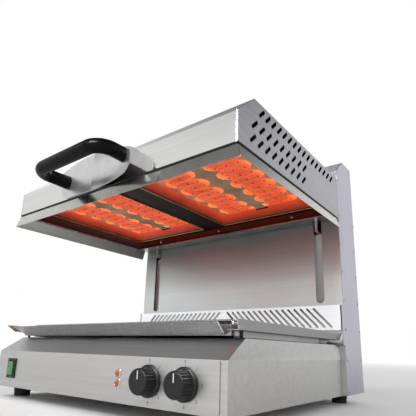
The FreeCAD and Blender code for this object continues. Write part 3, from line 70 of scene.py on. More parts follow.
# ribbons: a width and a pitch, lines that follow from the box of one zone, and a level a little
# under the solid strip, so that the ripple stays clear of the board
RIBBON_WIDTH = 16
RIBBON_PITCH = 22.5
RIBBON_REACH = 41
RIBBON_LOW, RIBBON_HIGH = limits("ribbon_elements_right")
ZONE_X = middle("ribbon_elements_right")[0]
RIBBON_LEVEL = RIBBON_LOW[2] - 0.3
RIBBON_FRONT = RIBBON_LOW[1] + RIBBON_WIDTH / 2
RIBBON_COUNT = 1 + round((RIBBON_HIGH[1] - RIBBON_LOW[1] - RIBBON_WIDTH) / RIBBON_PITCH)
RIBBON_SHIFT = RIBBON_HIGH[0] - ZONE_X - RIBBON_REACH
BEND_SHIFT = RIBBON_REACH - RIBBON_WIDTH / 2 - RIBBON_PITCH / 2
STAPLE_PITCH, STAPLE_WIRE = 24, 1.5
# mouths of the funnels and the bead on their rims
MOUTH_HALF = (116, 147)
MOUTH_CORNER = 3
BEAD_HEIGHT = 2.2
# height of the dark strip that paints the shadow in the casing joint
GAP_SHADOW_HEIGHT = 2.4
# screws: heads, and the rows that they stand in
SCREW_RADIUS, SCREW_HEIGHT = 3, 1.2
SCREW_TWIST = 3.1  # radians: no two slots line up
CASING_ROWS = (187.25, 274.25)
CASING_FIRST, CASING_PITCH, CASING_COUNT = 26, 60, 7
SKIRT_SIDE, SKIRT_FIRST, SKIRT_PITCH, SKIRT_COUNT = 284, -162.75, 90, 4
LINER_PITCH, LINER_LEVEL = 199, 389
# feet, dials and lamps
FOOT_SIDE, FOOT_ROWS = 250, (-176.75, 240.25)
DIAL_RADIUS, DIAL_FIGURE, SWITCH_FIGURE = 28, 4.6, 5.5
SWITCH_REACH = 24
LAMP_REACH = 7

# sheet folded by the press brake: how far the round of a fold reaches, and how deep it goes
BEND_WIDTH, BEND_DEPTH = 3.5, 2.0

# Kinds of node that the finishes use most
NOISE, RANGE, MATH = "ShaderNodeTexNoise", "ShaderNodeMapRange", "ShaderNodeMath"
MIX, AXES, MAPPING = "ShaderNodeMix", "ShaderNodeSeparateXYZ", "ShaderNodeMapping"
BUMP = "ShaderNodeBump"
# most of a noise's values lie between these two
SPREAD = (0.3, 0.7)


# Nodes and colours

def add_node(tree, kind, inputs=(), **settings):
    """Adds a node with its settings, and sets or links its inputs.

    An input is a plain value, a socket, or a node, which stands for its first output.
    """
    node = tree.nodes.new(kind)
    for name, value in settings.items():
        setattr(node, name, value)
    for key, value in inputs.items() if isinstance(inputs, dict) else enumerate(inputs):
        if isinstance(value, bpy.types.Node):
            value = value.outputs[0]
        if isinstance(value, bpy.types.NodeSocket):
            tree.links.new(value, node.inputs[key])
        else:
            node.inputs[key].default_value = value
    return node


def srgb(code):
    """A hex colour as linear red, green, blue and alpha."""
    channels = [int(code[i:i + 2], 16) / 255 for i in (1, 3, 5)]
    linear = [c / 12.92 if c <= 0.04045 else ((c + 0.055) / 1.055) ** 2.4 for c in channels]
    return (*linear, 1.0)


def start_material(name):
    """An empty material, its tree and its object coordinates."""
    material = bpy.data.materials.new(name)
    material.use_nodes = True
    tree = material.node_tree
    tree.nodes.clear()
    return material, tree, add_node(tree, "ShaderNodeTexCoord").outputs["Object"]


def end_material(tree, surface, height=None, depth=0.0, strength=1.0):
    """Ends a material with a shader; the relief's depth is in millimetres."""
    shader = add_node(tree, "ShaderNodeBsdfPrincipled", surface)
    add_node(tree, "ShaderNodeOutputMaterial", {"Surface": shader})
    if height is not None:
        relief = add_node(tree, BUMP, {"Height": height, "Distance": depth * MM,
                                       "Strength": strength})
        tree.links.new(relief.outputs[0], shader.inputs["Normal"])
    return shader


def zone_distance(tree, place):
    """How far a place is, sideways, from the middle of its own heating zone, in metres."""
    side = add_node(tree, MATH, [add_node(tree, AXES, [place])], operation="ABSOLUTE")
    side = add_node(tree, MATH, (side, ZONE_X * MM), operation="SUBTRACT")
    return add_node(tree, MATH, [side], operation="ABSOLUTE")


def column_distance(tree, place):
    """How far a place is, sideways, from the middle of its own column of ribbon, in metres."""
    side = zone_distance(tree, place)
    side = add_node(tree, MATH, (side, RIBBON_SHIFT * MM), operation="SUBTRACT")
    return add_node(tree, MATH, [side], operation="ABSOLUTE")


# Finishes

def brushed_stainless(name, grain, tones, roughness, relief=0.006, bend=0, top_shade=None):
    """Stainless sheet with a fine directional grain along X, Y or Z.

    The grit leaves scratches about 0.1 mm wide; they are drawn 0.9 mm wide so that they show.
    bend is half the width of a sheet whose upright edges are rounded by the press brake.
    The last argument gives the tone and the two heights of a painted shade, which grows darker and
    less metallic towards the upper height.
    """
    material, tree, place = start_material(name)
    scratch = [1000 / (90 if axis == grain else 0.9) for axis in "XYZ"]
    lines = add_node(tree, MAPPING, {"Vector": place, "Scale": scratch})
    lines = add_node(tree, NOISE, {"Vector": lines, "Scale": 1, "Detail": 3})
    streak = [1000 / (400 if axis == grain else 6) for axis in "XYZ"]
    streaks = add_node(tree, MAPPING, {"Vector": place, "Scale": streak})
    streaks = add_node(tree, NOISE, {"Vector": streaks, "Scale": 1})
    smears = add_node(tree, NOISE, {"Vector": place, "Scale": 1000 / 140, "Detail": 3})
    grey = [add_node(tree, RANGE, (streaks, *SPREAD, 0, 0.7)),
            add_node(tree, RANGE, (lines, *SPREAD, 0, 0.3))]
    grey = add_node(tree, MATH, grey, operation="ADD")
    colour = add_node(tree, MIX, {0: grey, 6: srgb(tones[0]), 7: srgb(tones[1])},
                      data_type="RGBA").outputs[2]
    unshaded_metal = 1.0
    # painted shade: darker and less metallic towards the upper height
    if top_shade:
        tone, low, high = top_shade
        level = add_node(tree, AXES, [place]).outputs[2]
        shade_mask = add_node(tree, RANGE, (level, low * MM, high * MM, 0, 1))
        colour = add_node(tree, MIX, {0: shade_mask, 6: colour, 7: srgb(tone)},
                          data_type="RGBA").outputs[2]
        unshaded_metal = add_node(tree, RANGE, (shade_mask, 0, 1, 1, 0.25))
    wear = [add_node(tree, RANGE, (lines, *SPREAD, -0.03, 0.03)),
            add_node(tree, RANGE, (smears, *SPREAD, -0.02, 0.04))]
    wear = add_node(tree, MATH, wear, operation="ADD")
    wear = add_node(tree, MATH, (wear, roughness), operation="ADD")
    height, depth = lines, relief
    if bend:
        reach = add_node(tree, MATH, [add_node(tree, AXES, [place])], operation="ABSOLUTE")
        fall = add_node(tree, RANGE, (reach, (bend - BEND_WIDTH) * MM, bend * MM, 0, 1))
        fall = add_node(tree, MATH, (fall, 2.0), operation="POWER")
        height = add_node(tree, MATH, (lines, relief / BEND_DEPTH), operation="MULTIPLY")
        height = add_node(tree, MATH, (height, fall), operation="SUBTRACT")
        depth = BEND_DEPTH
    end_material(tree, {"Base Color": colour, "Metallic": unshaded_metal, "Roughness": wear}, height, depth)
    return material


def plain_metal(name, tones, roughness, spots=8, relief=0.003):
    """Metal with faint blotches, such as plating, aluminised sheet or machined bar."""
    material, tree, place = start_material(name)
    mottle = add_node(tree, NOISE, {"Vector": place, "Scale": 1000 / spots, "Detail": 4,
                                    "Roughness": 0.6})
    shade = add_node(tree, RANGE, (mottle, *SPREAD, 0, 1))
    colour = add_node(tree, MIX, {0: shade, 6: srgb(tones[0]), 7: srgb(tones[1])},
                      data_type="RGBA").outputs[2]
    wear = add_node(tree, NOISE, {"Vector": place, "Scale": 1000 / (spots * 2.5), "Detail": 3})
    wear = add_node(tree, RANGE, (wear, *SPREAD, roughness * 0.75, roughness * 1.3))
    end_material(tree, {"Base Color": colour, "Metallic": 1.0, "Roughness": wear}, mottle, relief)
    return material


def heat_tinted_sheet(name, tones, tint, roughness, metallic=1.0, painted_glow=None):
    """Aluminised or stainless sheet with straw-brown heat tint in soft clouds.

    The last argument gives the colour of a painted glow, which stands in for the ribbons' light on
    the sheet, and the heights where it is nil and full.
    """
    material, tree, place = start_material(name)
    clouds = add_node(tree, NOISE, {"Vector": place, "Scale": 1000 / 70, "Detail": 4,
                                    "Roughness": 0.6})
    clouds = add_node(tree, RANGE, (clouds, 0.35, 0.75, 0, 1))
    grain = [1000 / size for size in (60, 60, 1.5)]
    grain = add_node(tree, MAPPING, {"Vector": place, "Scale": grain})
    grain = add_node(tree, NOISE, {"Vector": grain, "Scale": 1})
    shade = add_node(tree, RANGE, (grain, *SPREAD, 0, 1))
    clean = add_node(tree, MIX, {0: shade, 6: srgb(tones[0]), 7: srgb(tones[1])},
                     data_type="RGBA").outputs[2]
    colour = add_node(tree, MIX, {0: clouds, 6: clean, 7: srgb(tint)},
                      data_type="RGBA").outputs[2]
    wear = add_node(tree, RANGE, (clouds, 0, 1, roughness, roughness + 0.12))
    surface = {"Base Color": colour, "Metallic": metallic, "Roughness": wear}
    # painted glow: emission that stands in for the ribbons' light on the sheet
    if painted_glow:
        tone, low, high = painted_glow
        level = add_node(tree, AXES, [place]).outputs[2]
        fade = add_node(tree, RANGE, (level, low * MM, high * MM, 0, 1))
        fade = add_node(tree, MATH, (fade, 1.4), operation="POWER")
        patches = add_node(tree, RANGE, (clouds, 0, 1, 1.0, 0.7))
        strength = add_node(tree, MATH, (fade, patches), operation="MULTIPLY")
        surface |= {"Emission Color": srgb(tone), "Emission Strength": strength}
    end_material(tree, surface, grain, 0.004)
    return material


def painted_coat(name, tones, roughness, grain=0.8, relief=0.03, coat=0.0, shine=0.5):
    """Powder coat, enamel or moulded plastic with a fine texture."""
    material, tree, place = start_material(name)
    skin = add_node(tree, NOISE, {"Vector": place, "Scale": 1000 / grain})
    dust = add_node(tree, NOISE, {"Vector": place, "Scale": 1000 / 30, "Detail": 4,
                                  "Roughness": 0.6})
    shade = add_node(tree, RANGE, (dust, *SPREAD, 0, 1))
    colour = add_node(tree, MIX, {0: shade, 6: srgb(tones[0]), 7: srgb(tones[1])},
                      data_type="RGBA").outputs[2]
    wear = add_node(tree, RANGE, (dust, *SPREAD, roughness - 0.06, roughness + 0.08))
    surface = {"Base Color": colour, "Roughness": wear, "Coat Weight": coat,
               "Specular IOR Level": shine}
    end_material(tree, surface, skin, relief, 0.6)
    return material


def fibre_board(name):
    """Pressed ceramic-fibre board: matt, taupe, speckled, scorched a little in clouds.

    Near the ribbons it carries a painted dull-orange glow, which stands in for the ribbons' light
    on the board.
    """
    material, tree, place = start_material(name)
    fibres = add_node(tree, NOISE, {"Vector": place, "Scale": 1000 / 2.2, "Detail": 5,
                                    "Roughness": 0.7})
    scorch = add_node(tree, NOISE, {"Vector": place, "Scale": 1000 / 55, "Detail": 3})
    scorch = add_node(tree, RANGE, (scorch, 0.35, 0.65, 0, 1))
    shade = add_node(tree, RANGE, (fibres, *SPREAD, 0, 1))
    pale = add_node(tree, MIX, {0: shade, 6: srgb("#b0967c"), 7: srgb("#dcc2a4")},
                    data_type="RGBA").outputs[2]
    colour = add_node(tree, MIX, {0: scorch, 6: pale, 7: srgb("#a88468")},
                      data_type="RGBA").outputs[2]
    # painted glow near the ribbons: the ribbons' light on the board, drawn as emission
    notches = (column_distance(tree, place), 24 * MM, 38 * MM, 1, 0.45)
    inside = (zone_distance(tree, place), 24 * MM, 33 * MM, 0, 1)
    ribbon_light = [add_node(tree, RANGE, values) for values in (notches, inside)]
    ribbon_light = add_node(tree, MATH, ribbon_light, operation="MULTIPLY")
    speckle = add_node(tree, RANGE, (fibres, *SPREAD, 0.26, 0.44))
    ribbon_light = add_node(tree, MATH, (ribbon_light, speckle), operation="MULTIPLY")
    surface = {"Base Color": colour, "Roughness": 0.9, "Emission Color": srgb("#e0502a"),
               "Emission Strength": ribbon_light}
    end_material(tree, surface, fibres, 0.3)
    return material


def glowing_alloy(name):
    """Resistance ribbon at orange heat: hottest in the turns, duller where the air cools it."""
    material, tree, place = start_material(name)
    patches = add_node(tree, NOISE, {"Vector": place, "Scale": 1000 / 26, "Detail": 3,
                                     "Roughness": 0.6})
    ripple = add_node(tree, NOISE, {"Vector": place, "Scale": 1000 / 5, "Detail": 3,
                                    "Roughness": 0.6})
    turns = add_node(tree, RANGE, (column_distance(tree, place), 16 * MM, 38 * MM, 0, 0.55))
    heat = [add_node(tree, RANGE, (patches, *SPREAD, 0, 0.4)),
            add_node(tree, RANGE, (ripple, *SPREAD, 0, 0.3))]
    heat = add_node(tree, MATH, heat, operation="ADD")
    heat = add_node(tree, MATH, (heat, turns), operation="ADD")
    ramp = add_node(tree, "ShaderNodeValToRGB", [heat])
    stops = ramp.color_ramp.elements
    stops[0].position, stops[0].color = 0.0, srgb("#dd4220")
    stops[1].position, stops[1].color = 1.0, srgb("#ff8f50")
    stops.new(0.5).color = srgb("#fb5c2c")
    strength = add_node(tree, RANGE, (heat, 0, 1, 0.72, 1.1))
    end_material(tree, {"Base Color": srgb("#2b1c17"), "Roughness": 0.6, "Emission Color": ramp,
                        "Emission Strength": strength})
    return material


def lamp_lens(name, tones):
    """Ribbed translucent polycarbonate of a pilot lamp."""
    material, tree, place = start_material(name)
    rings = add_node(tree, "ShaderNodeTexWave", {"Vector": place, "Scale": 160, "Distortion": 0.4},
                     bands_direction="Z").outputs[1]
    colour = add_node(tree, MIX, {0: rings, 6: srgb(tones[0]), 7: srgb(tones[1])},
                      data_type="RGBA").outputs[2]
    surface = {"Base Color": colour, "Roughness": 0.22, "Transmission Weight": 0.35, "IOR": 1.58}
    end_material(tree, surface, rings, 0.2)
    return material


MATERIALS = {
    # front sheet of the hood: fine grain along the width, nearly a mirror
    "front": brushed_stainless("polished_stainless_front", "X", ("#cfcfce", "#d8d7d6"), 0.11,
                               0.003, CASING_SIDE),
    # flat side sheets: grain runs front to back and greys the reflections
    "side": brushed_stainless("brushed_stainless_side", "Y", ("#97979c", "#a4a4a9"), 0.26),
    # skirt: the same sheet, folded, with the grain along the fold
    "skirt_side": brushed_stainless("brushed_stainless_skirt", "Y", ("#b6b6b2", "#c5c5c0"), 0.2),
    # rails and runners: duller, from the pans that slide over them
    "rail": brushed_stainless("worn_stainless_rail", "Y", ("#a9a9ab", "#b9b9bb"), 0.42),
    # tower sheets: satin, grain along the width, cool and lilac on the sides
    "tower": brushed_stainless("satin_stainless_tower", "X", ("#bdbdbe", "#c6c6c7"), 0.27),
    "tower_side": brushed_stainless("satin_stainless_side", "Z", ("#a9a7b4", "#b3b1bf"), 0.3),
    "cap": brushed_stainless("satin_stainless_cap", "X", ("#dddbe6", "#e8e6f0"), 0.48),
    # front sheet of the tower: painted shade under the hood, darker and less metallic towards the
    # top
    "tower_front": brushed_stainless("shaded_stainless_front", "X", ("#cacccc", "#d2d4d4"), 0.38,
                                     top_shade=("#5e6363", 245, 385)),
    # bright band: near-white tones, the lightest sheet
    "band": brushed_stainless("bright_stainless_band", "X", ("#f3f5f8", "#fcfdff"), 0.3),
    # tray and base: heavier sheet with a coarser, duller grind
    "tray": brushed_stainless("ground_stainless_tray", "Y", ("#98989a", "#a8a8aa"), 0.24),
    "base": brushed_stainless("ground_stainless_base", "X", ("#b2b2b1", "#c0bfbe"), 0.36),
    # aluminised sheet of the funnels: its red-brown tones and its emission are a painted reflection
    # of the glowing ribbons
    "reflector": heat_tinted_sheet("aluminised_reflector_sheet", ("#6e3222", "#7c3c2a"),
                                   "#5a2a1c", 0.45, 0.2, ("#e2421c", 390, 412)),
    # liner round the mouths: stainless gone brown, with a dull red painted glow on it that stands
    # for the ribbons' reflected light
    "liner": heat_tinted_sheet("heat_tinted_liner_sheet", ("#30241f", "#3c2d26"), "#241915", 0.34,
                               1.0, ("#43120a", 374, 394)),
    # shield above the boards: scaled dark by the heat, and matt
    "shield": heat_tinted_sheet("scaled_shield_sheet", ("#2a2725", "#37332f"), "#1d1a17", 0.5),
    # scaled heat-resisting sheet between the funnels: near black, brownish, a little glossy
    "frame": painted_coat("oxidised_heat_plate", ("#120c07", "#271c12"), 0.5, 1.5, 0.02,
                          shine=0.16),
    # rolled rims of the mouths: annealed to a dull straw-olive
    "rim": heat_tinted_sheet("annealed_rim_bead", ("#b3ab7c", "#c4bc8c"), "#8f845a", 0.3),
    # cut and bent plate, finely ground
    "plate": plain_metal("ground_steel_plate", ("#c2c1c2", "#cccbcc"), 0.34, 30, 0.001),
    # turned and milled steel: even, with a soft sheen
    "gear": plain_metal("machined_steel_gear", ("#a8a8aa", "#bdbdbf"), 0.3),
    # hard chrome on ground bar
    "rod": plain_metal("hard_chromed_rod", ("#cfd0d2", "#dadadc"), 0.1, 20, 0.001),
    # glass-filled PTFE strips that close the slots: white and waxy
    "shutter": painted_coat("white_ptfe_strip", ("#e8f2f2", "#f2fbfb"), 0.35, 2.0, 0.01),
    # stoved enamel on tube: black and glossy
    "strut": painted_coat("black_enamel_strut", ("#0d0d0e", "#161617"), 0.3, 1.2, 0.03, 0.3),
    # sintered bush: brown-gold, finely pitted by its pores
    "bronze": plain_metal("sintered_bronze_bush", ("#8d6a3c", "#a98352"), 0.38, 1.5, 0.03),
    # bright zinc plate: bluish, a little uneven
    "zinc": plain_metal("zinc_plated_screw", ("#aeb1b6", "#c6c9cc"), 0.26, 3),
    # heat-resisting wire, oxidised: dark spots on the glowing ribbon
    "staple": plain_metal("oxidised_wire_staple", ("#2b1a14", "#4a2c20"), 0.55, 2),
    "board": fibre_board("ceramic_fibre_board"),
    "ribbon": glowing_alloy("glowing_resistance_alloy"),
    # fired steatite: cream, under a thin glaze
    "ceramic": painted_coat("glazed_steatite", ("#d9d3c3", "#e8e3d6"), 0.3, 2, 0.05, 0.4),
    # compression-moulded phenolic: black, silky, softly worn
    "handle": painted_coat("black_phenolic_handle", ("#040405", "#090909"), 0.3, 1.1, 0.012,
                           shine=0.1),
    # moulded nylon: black, with a dull grain
    "knob": painted_coat("black_nylon_control", ("#0b0b0c", "#131314"), 0.42, 0.7, 0.03,
                         shine=0.35),
    # moulded polycarbonate: clear green, shiny
    "rocker": painted_coat("green_polycarbonate_rocker", ("#1d6b34", "#2c8a48"), 0.25, 3, 0.02,
                           0.3),
    # amber lens: lets some light into its rings
    "lens": lamp_lens("amber_polycarbonate_lens", ("#c9680f", "#f09a32")),
    # glass-filled nylon: dull black, slightly rough
    "gland": painted_coat("black_nylon_gland", ("#141414", "#202020"), 0.5, 0.9, 0.04),
    # dark strip in the joint between casing and skirt: a painted shadow of the gap
    "gap_shadow": painted_coat("painted_gap_shadow_strip", ("#14120e", "#201d18"), 0.5, 1.0, 0.02,
                         shine=0.3),
    # moulded rubber: matt, greyed by dust
    "rubber": painted_coat("black_rubber_foot", ("#151515", "#262625"), 0.78, 0.9, 0.08),
    # pad printing: flat ink, white on the knobs and dark on the panel
    "print": painted_coat("white_dial_print", ("#dedede", "#f2f2f2"), 0.5, 1.0, 0.01),
    "dark_print": painted_coat("dark_dial_print", ("#161616", "#242424"), 0.5, 1.0, 0.01),
    # chromed wire: bright, with faint blotches of heat
    "grid": plain_metal("chromed_grid_wire", ("#b3b3b4", "#c9c9ca"), 0.2, 12),
}

# The finish of every solid
FINISH = {
    "hood_cover": "front", "hood_side_left": "side", "hood_side_right": "side",
    "hood_back": "tower", "hood_skirt": "skirt_side", "hood_liner": "liner",
    "zone_frame": "frame", "reflector_left": "reflector", "reflector_right": "reflector",
    "insulation_board_left": "board", "insulation_board_right": "board",
    "ribbon_elements_left": "ribbon", "ribbon_elements_right": "ribbon",
    "element_staples": "staple", "element_terminals": "ceramic", "heat_shield": "shield",
    "handle_grip": "handle", "handle_bracket": "plate", "handle_screws": "zinc",
    "skirt_screws": "zinc", "lift_arm_left": "gear", "lift_arm_right": "gear",
    "carriage_left": "gear", "carriage_right": "gear", "guide_bushes": "bronze",
    "strut_rod_left": "rod", "strut_rod_right": "rod", "slot_shutters": "shutter",
    "base_shell": "base", "base_floor": "base", "feet": "rubber", "control_panel": "base",
    "side_rail_left": "rail", "side_rail_right": "rail",
    "tray_runner_left": "rail", "tray_runner_right": "rail", "rail_posts": "strut",
    "tower_side_left": "tower_side", "tower_side_right": "tower_side",
    "tower_front": "tower_front",
    "tower_back": "tower", "tower_cap": "cap", "guide_rod_left": "rod",
    "guide_rod_right": "rod", "upper_crossbar": "gear", "lower_crossbar": "gear",
    "strut_cylinder_left": "strut", "strut_cylinder_right": "strut", "louvre_band": "band",
    "energy_regulators": "knob", "switch_housing": "knob", "pilot_lamps": "lens",
    "terminal_block": "ceramic", "cable_gland": "gland", "casing_screws": "zinc",
    "zone_knob_left": "knob", "zone_knob_right": "knob", "rocker": "rocker",
    "drip_tray": "tray", "wire_grid": "grid",
}

# Folded sheets, with the radius of their broken edges in millimetres
SHEETS = {
    "hood_cover": 0.5, "hood_side_left": 0.5, "hood_side_right": 0.5, "hood_skirt": 0.4,
    "tower_side_left": 0.5, "tower_side_right": 0.5, "tower_front": 0.4, "tower_cap": 0.4,
    "louvre_band": 0.4, "base_shell": 0.6, "control_panel": 0.5, "side_rail_left": 0.4,
    "side_rail_right": 0.4, "drip_tray": 0.4, "handle_bracket": 0.9, "tower_back": 0.4,
}

ROUND_PIECES = ("handle_grip", "guide_rod_left", "guide_rod_right", "strut_rod_left",
                "strut_rod_right", "strut_cylinder_left", "strut_cylinder_right", "wire_grid",
                "rail_posts", "element_terminals", "guide_bushes")


# Pieces

def show(name, mesh, finish, body, replaces=()):
    """Makes a finished mesh a piece of the object that rides on a body."""
    piece = bpy.data.objects.new(name, mesh)
    bpy.context.scene.collection.objects.link(piece)
    mesh.materials.clear()
    mesh.materials.append(MATERIALS[finish])
    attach(piece, body)
    if replaces:
        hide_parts(*replaces)
    return piece


def dress_solids():
    """Gives every solid its own finish."""
    for node, finish in FINISH.items():
        mesh = NODES[node].data
        mesh.materials.clear()
        mesh.materials.append(MATERIALS[finish])


def fold_edges(node, width):
    """The same folded sheet with its edges broken by a small radius."""
    mesh = NODES[node].data.copy()
    shape = bmesh.new()
    shape.from_mesh(mesh)
    bmesh.ops.remove_doubles(shape, verts=shape.verts, dist=0.000002)
    bmesh.ops.dissolve_limit(shape, angle_limit=math.radians(0.5), verts=shape.verts,
                             edges=shape.edges)
    shape.to_mesh(mesh)
    shape.free()
    piece = show(f"{node}_sheet", mesh, FINISH[node], BODY_OF[node], (node,))
    bevel = piece.modifiers.new("broken_edges", "BEVEL")
    bevel.width = width * MM
    bevel.segments = 2
    bevel.limit_method = "ANGLE"
    bevel.angle_limit = math.radians(28)
    bevel.use_clamp_overlap = True
    return piece


def soften(mesh, angle=35):
    """Smooth shading that stops at the real edges."""
    mesh.shade_smooth()
    mesh.set_sharp_from_angle(angle=math.radians(angle))
    return mesh


def smooth_copy(node):
    """The same round piece with its facets shaded smooth."""
    mesh = NODES[node].data.copy()
    shape = bmesh.new()
    shape.from_mesh(mesh)
    bmesh.ops.remove_doubles(shape, verts=shape.verts, dist=0.000002)
    shape.to_mesh(mesh)
    shape.free()
    return show(f"{node}_smooth", soften(mesh), FINISH[node], BODY_OF[node], (node,))


def plain_mesh(item):
    """The finished mesh of an object that is then thrown away."""
    bpy.context.scene.collection.objects.link(item)
    graph = bpy.context.evaluated_depsgraph_get()
    mesh = bpy.data.meshes.new_from_object(item.evaluated_get(graph))
    bpy.data.objects.remove(item)
    return mesh


def gathered(parts):
    """One mesh of several, each moved by its own matrix."""
    whole = bmesh.new()
    for mesh, matrix in parts:
        mesh = mesh.copy()
        mesh.transform(matrix)
        whole.from_mesh(mesh)
    result = bpy.data.meshes.new("gathered")
    whole.to_mesh(result)
    whole.free()
    return result


def turned(profile, segments=48, flute=None, loop=False):
    """A turned mesh about Z; profile holds (radius, height) in millimetres, from pole to pole.

    flute(angle, height) gives how much the radius changes there; loop closes a hollow ring.
    """
    shape = bmesh.new()
    rings = []
    for radius, height in profile:
        ring = []
        for i in range(segments if radius else 1):
            angle = 2 * math.pi * i / segments
            reach = radius + (flute(angle, height) if flute and radius else 0)
            place = (reach * math.cos(angle), reach * math.sin(angle), height)
            ring.append(shape.verts.new(Vector(place) * MM))
        rings.append(ring)
    if loop:
        rings.append(rings[0])
    for low, high in zip(rings, rings[1:]):
        for i in range(segments):
            j = (i + 1) % segments
            corners = (low[i % len(low)], low[j % len(low)], high[j % len(high)],
                       high[i % len(high)])
            shape.faces.new(list(dict.fromkeys(corners)))
    bmesh.ops.recalc_face_normals(shape, faces=shape.faces)
    mesh = bpy.data.meshes.new("turned")
    shape.to_mesh(mesh)
    shape.free()
    return soften(mesh)


def slab(x, y, z, round_edge=0.0):
    """A small block between limits in millimetres, with its edges broken."""
    shape = bmesh.new()
    bmesh.ops.create_cube(shape, size=1)
    centre = Vector([sum(pair) / 2 for pair in (x, y, z)]) * MM
    for vert in shape.verts:
        for axis, (low, high) in enumerate((x, y, z)):
            vert.co[axis] *= (high - low) * MM
        vert.co += centre
    if round_edge:
        bmesh.ops.bevel(shape, geom=shape.edges, offset=round_edge * MM, segments=2,
                        affect="EDGES", profile=0.5)
    mesh = bpy.data.meshes.new("slab")
    shape.to_mesh(mesh)
    shape.free()
    return mesh


def line_mesh(lines, closed=False):
    """Vertices and edges through lines of points in millimetres."""
    points, edges = [], []
    for line in lines:
        first = len(points)
        points += [Vector(point) * MM for point in line]
        edges += [(i, i + 1) for i in range(first, len(points) - 1)]
        if closed:
            edges.append((len(points) - 1, first))
    mesh = bpy.data.meshes.new("lines")
    mesh.from_pydata(points, edges, [])
    return mesh


def facing(place, axis):
    """The matrix that puts a piece made along Z at a place in millimetres, along an axis."""
    turn = {"-Y": Matrix.Rotation(math.pi / 2, 4, "X"), "+Y": Matrix.Rotation(-math.pi / 2, 4, "X"),
            "+Z": Matrix.Identity(4)}[axis]
    return Matrix.Translation(Vector(place) * MM) @ turn


# Trees that make the repeated pieces

def new_tree(name, *sizes):
    """A tree with named sizes and a finish, and the sockets of its inputs."""
    tree = bpy.data.node_groups.new(name, "GeometryNodeTree")
    kinds = [("Geometry", "Geometry")] + [(size, "Float") for size in sizes]
    for label, kind in kinds + [("Copy", "Object"), ("Finish", "Material")]:
        tree.interface.new_socket(label, in_out="INPUT", socket_type=f"NodeSocket{kind}")
    tree.interface.new_socket("Geometry", in_out="OUTPUT", socket_type="NodeSocketGeometry")
    return tree, add_node(tree, "NodeGroupInput").outputs


def end_tree(tree, given, geometry):
    """Makes the copies real, gives them their finish and sends them out."""
    solid = add_node(tree, "GeometryNodeRealizeInstances", {"Geometry": geometry})
    dressed = add_node(tree, "GeometryNodeSetMaterial", {"Geometry": solid,
                                                         "Material": given["Finish"]})
    add_node(tree, "NodeGroupOutput", {"Geometry": dressed})
    return tree


def make_strip_tree():
    """A flat strip that follows a line and is rippled up and down along it."""
    tree, given = new_tree("formed_strip", "Width", "Thickness", "Ripple Pitch", "Ripple Height",
                           "Step")
    line = add_node(tree, "GeometryNodeMeshToCurve", {"Mesh": given["Geometry"]})
    line = add_node(tree, "GeometryNodeResampleCurve", {"Curve": line, "Length": given["Step"]},
                    mode="LENGTH")
    along = add_node(tree, "GeometryNodeSplineParameter").outputs["Length"]
    wave = add_node(tree, MATH, (along, given["Ripple Pitch"]), operation="DIVIDE")
    wave = add_node(tree, MATH, (wave, 2 * math.pi), operation="MULTIPLY")
    wave = add_node(tree, MATH, [wave], operation="SINE")
    lift = add_node(tree, MATH, (wave, given["Ripple Height"]), operation="MULTIPLY")
    offset = add_node(tree, "ShaderNodeCombineXYZ", {"Z": lift})
    line = add_node(tree, "GeometryNodeSetPosition", {"Geometry": line, "Offset": offset})
    level = add_node(tree, "GeometryNodeSetCurveNormal", {"Curve": line}, mode="Z_UP")
    edge = add_node(tree, "GeometryNodeCurvePrimitiveQuadrilateral",
                    {"Width": given["Width"], "Height": given["Thickness"]}, mode="RECTANGLE")
    strip = add_node(tree, "GeometryNodeCurveToMesh",
                     {"Curve": level, "Profile Curve": edge, "Fill Caps": True})
    return end_tree(tree, given, strip)


def make_copy_tree():
    """Copies of a small piece on points, each along its point's axis and twisted at random."""
    tree, given = new_tree("placed_copies", "Most Twist")
    axis = add_node(tree, "GeometryNodeInputNamedAttribute", {"Name": "axis"},
                    data_type="FLOAT_VECTOR")
    aim = add_node(tree, "FunctionNodeAlignRotationToVector", {"Vector": axis}, axis="Z")
    twist = add_node(tree, "FunctionNodeRandomValue", {2: 0.0, 3: given["Most Twist"], 8: 7},
                     data_type="FLOAT").outputs[1]
    spin = add_node(tree, "FunctionNodeAxisAngleToRotation", {"Axis": (0, 0, 1), "Angle": twist})
    both = add_node(tree, "FunctionNodeRotateRotation", (aim, spin), rotation_space="LOCAL")
    model = add_node(tree, "GeometryNodeObjectInfo", {"Object": given["Copy"]})
    placed = add_node(tree, "GeometryNodeInstanceOnPoints",
                      {"Points": given["Geometry"], "Instance": model.outputs["Geometry"],
                       "Rotation": both})
    return end_tree(tree, given, placed)


def grow(tree, mesh, values, finish):
    """The plain mesh that a tree makes of a mesh with the given values."""
    item = bpy.data.objects.new("work_piece", mesh)
    shape = item.modifiers.new("shape", "NODES")
    shape.node_group = tree
    values = {**values, "Finish": MATERIALS[finish]}
    for socket in tree.interface.items_tree:
        if socket.in_out == "INPUT" and socket.name in values:
            shape[socket.identifier] = values[socket.name]
    bpy.context.scene.collection.objects.link(item)
    graph = bpy.context.evaluated_depsgraph_get()
    result = bpy.data.meshes.new_from_object(item.evaluated_get(graph))
    item.modifiers.remove(shape)
    bpy.data.objects.remove(item)
    return result


def grow_copies(places, model, finish, twist=0.0):
    """Copies of a model on ((x, y, z), axis) places in millimetres."""
    mesh = bpy.data.meshes.new("places")
    mesh.from_pydata([Vector(place) * MM for place, _ in places], [], [])
    axes = mesh.attributes.new("axis", "FLOAT_VECTOR", "POINT")
    axes.data.foreach_set("vector", [float(part) for _, axis in places for part in axis])
    copy = bpy.data.objects.new("copy", model)
    bpy.context.scene.collection.objects.link(copy)
    result = grow(COPIES, mesh, {"Copy": copy, "Most Twist": twist}, finish)
    bpy.data.objects.remove(copy)
    return result


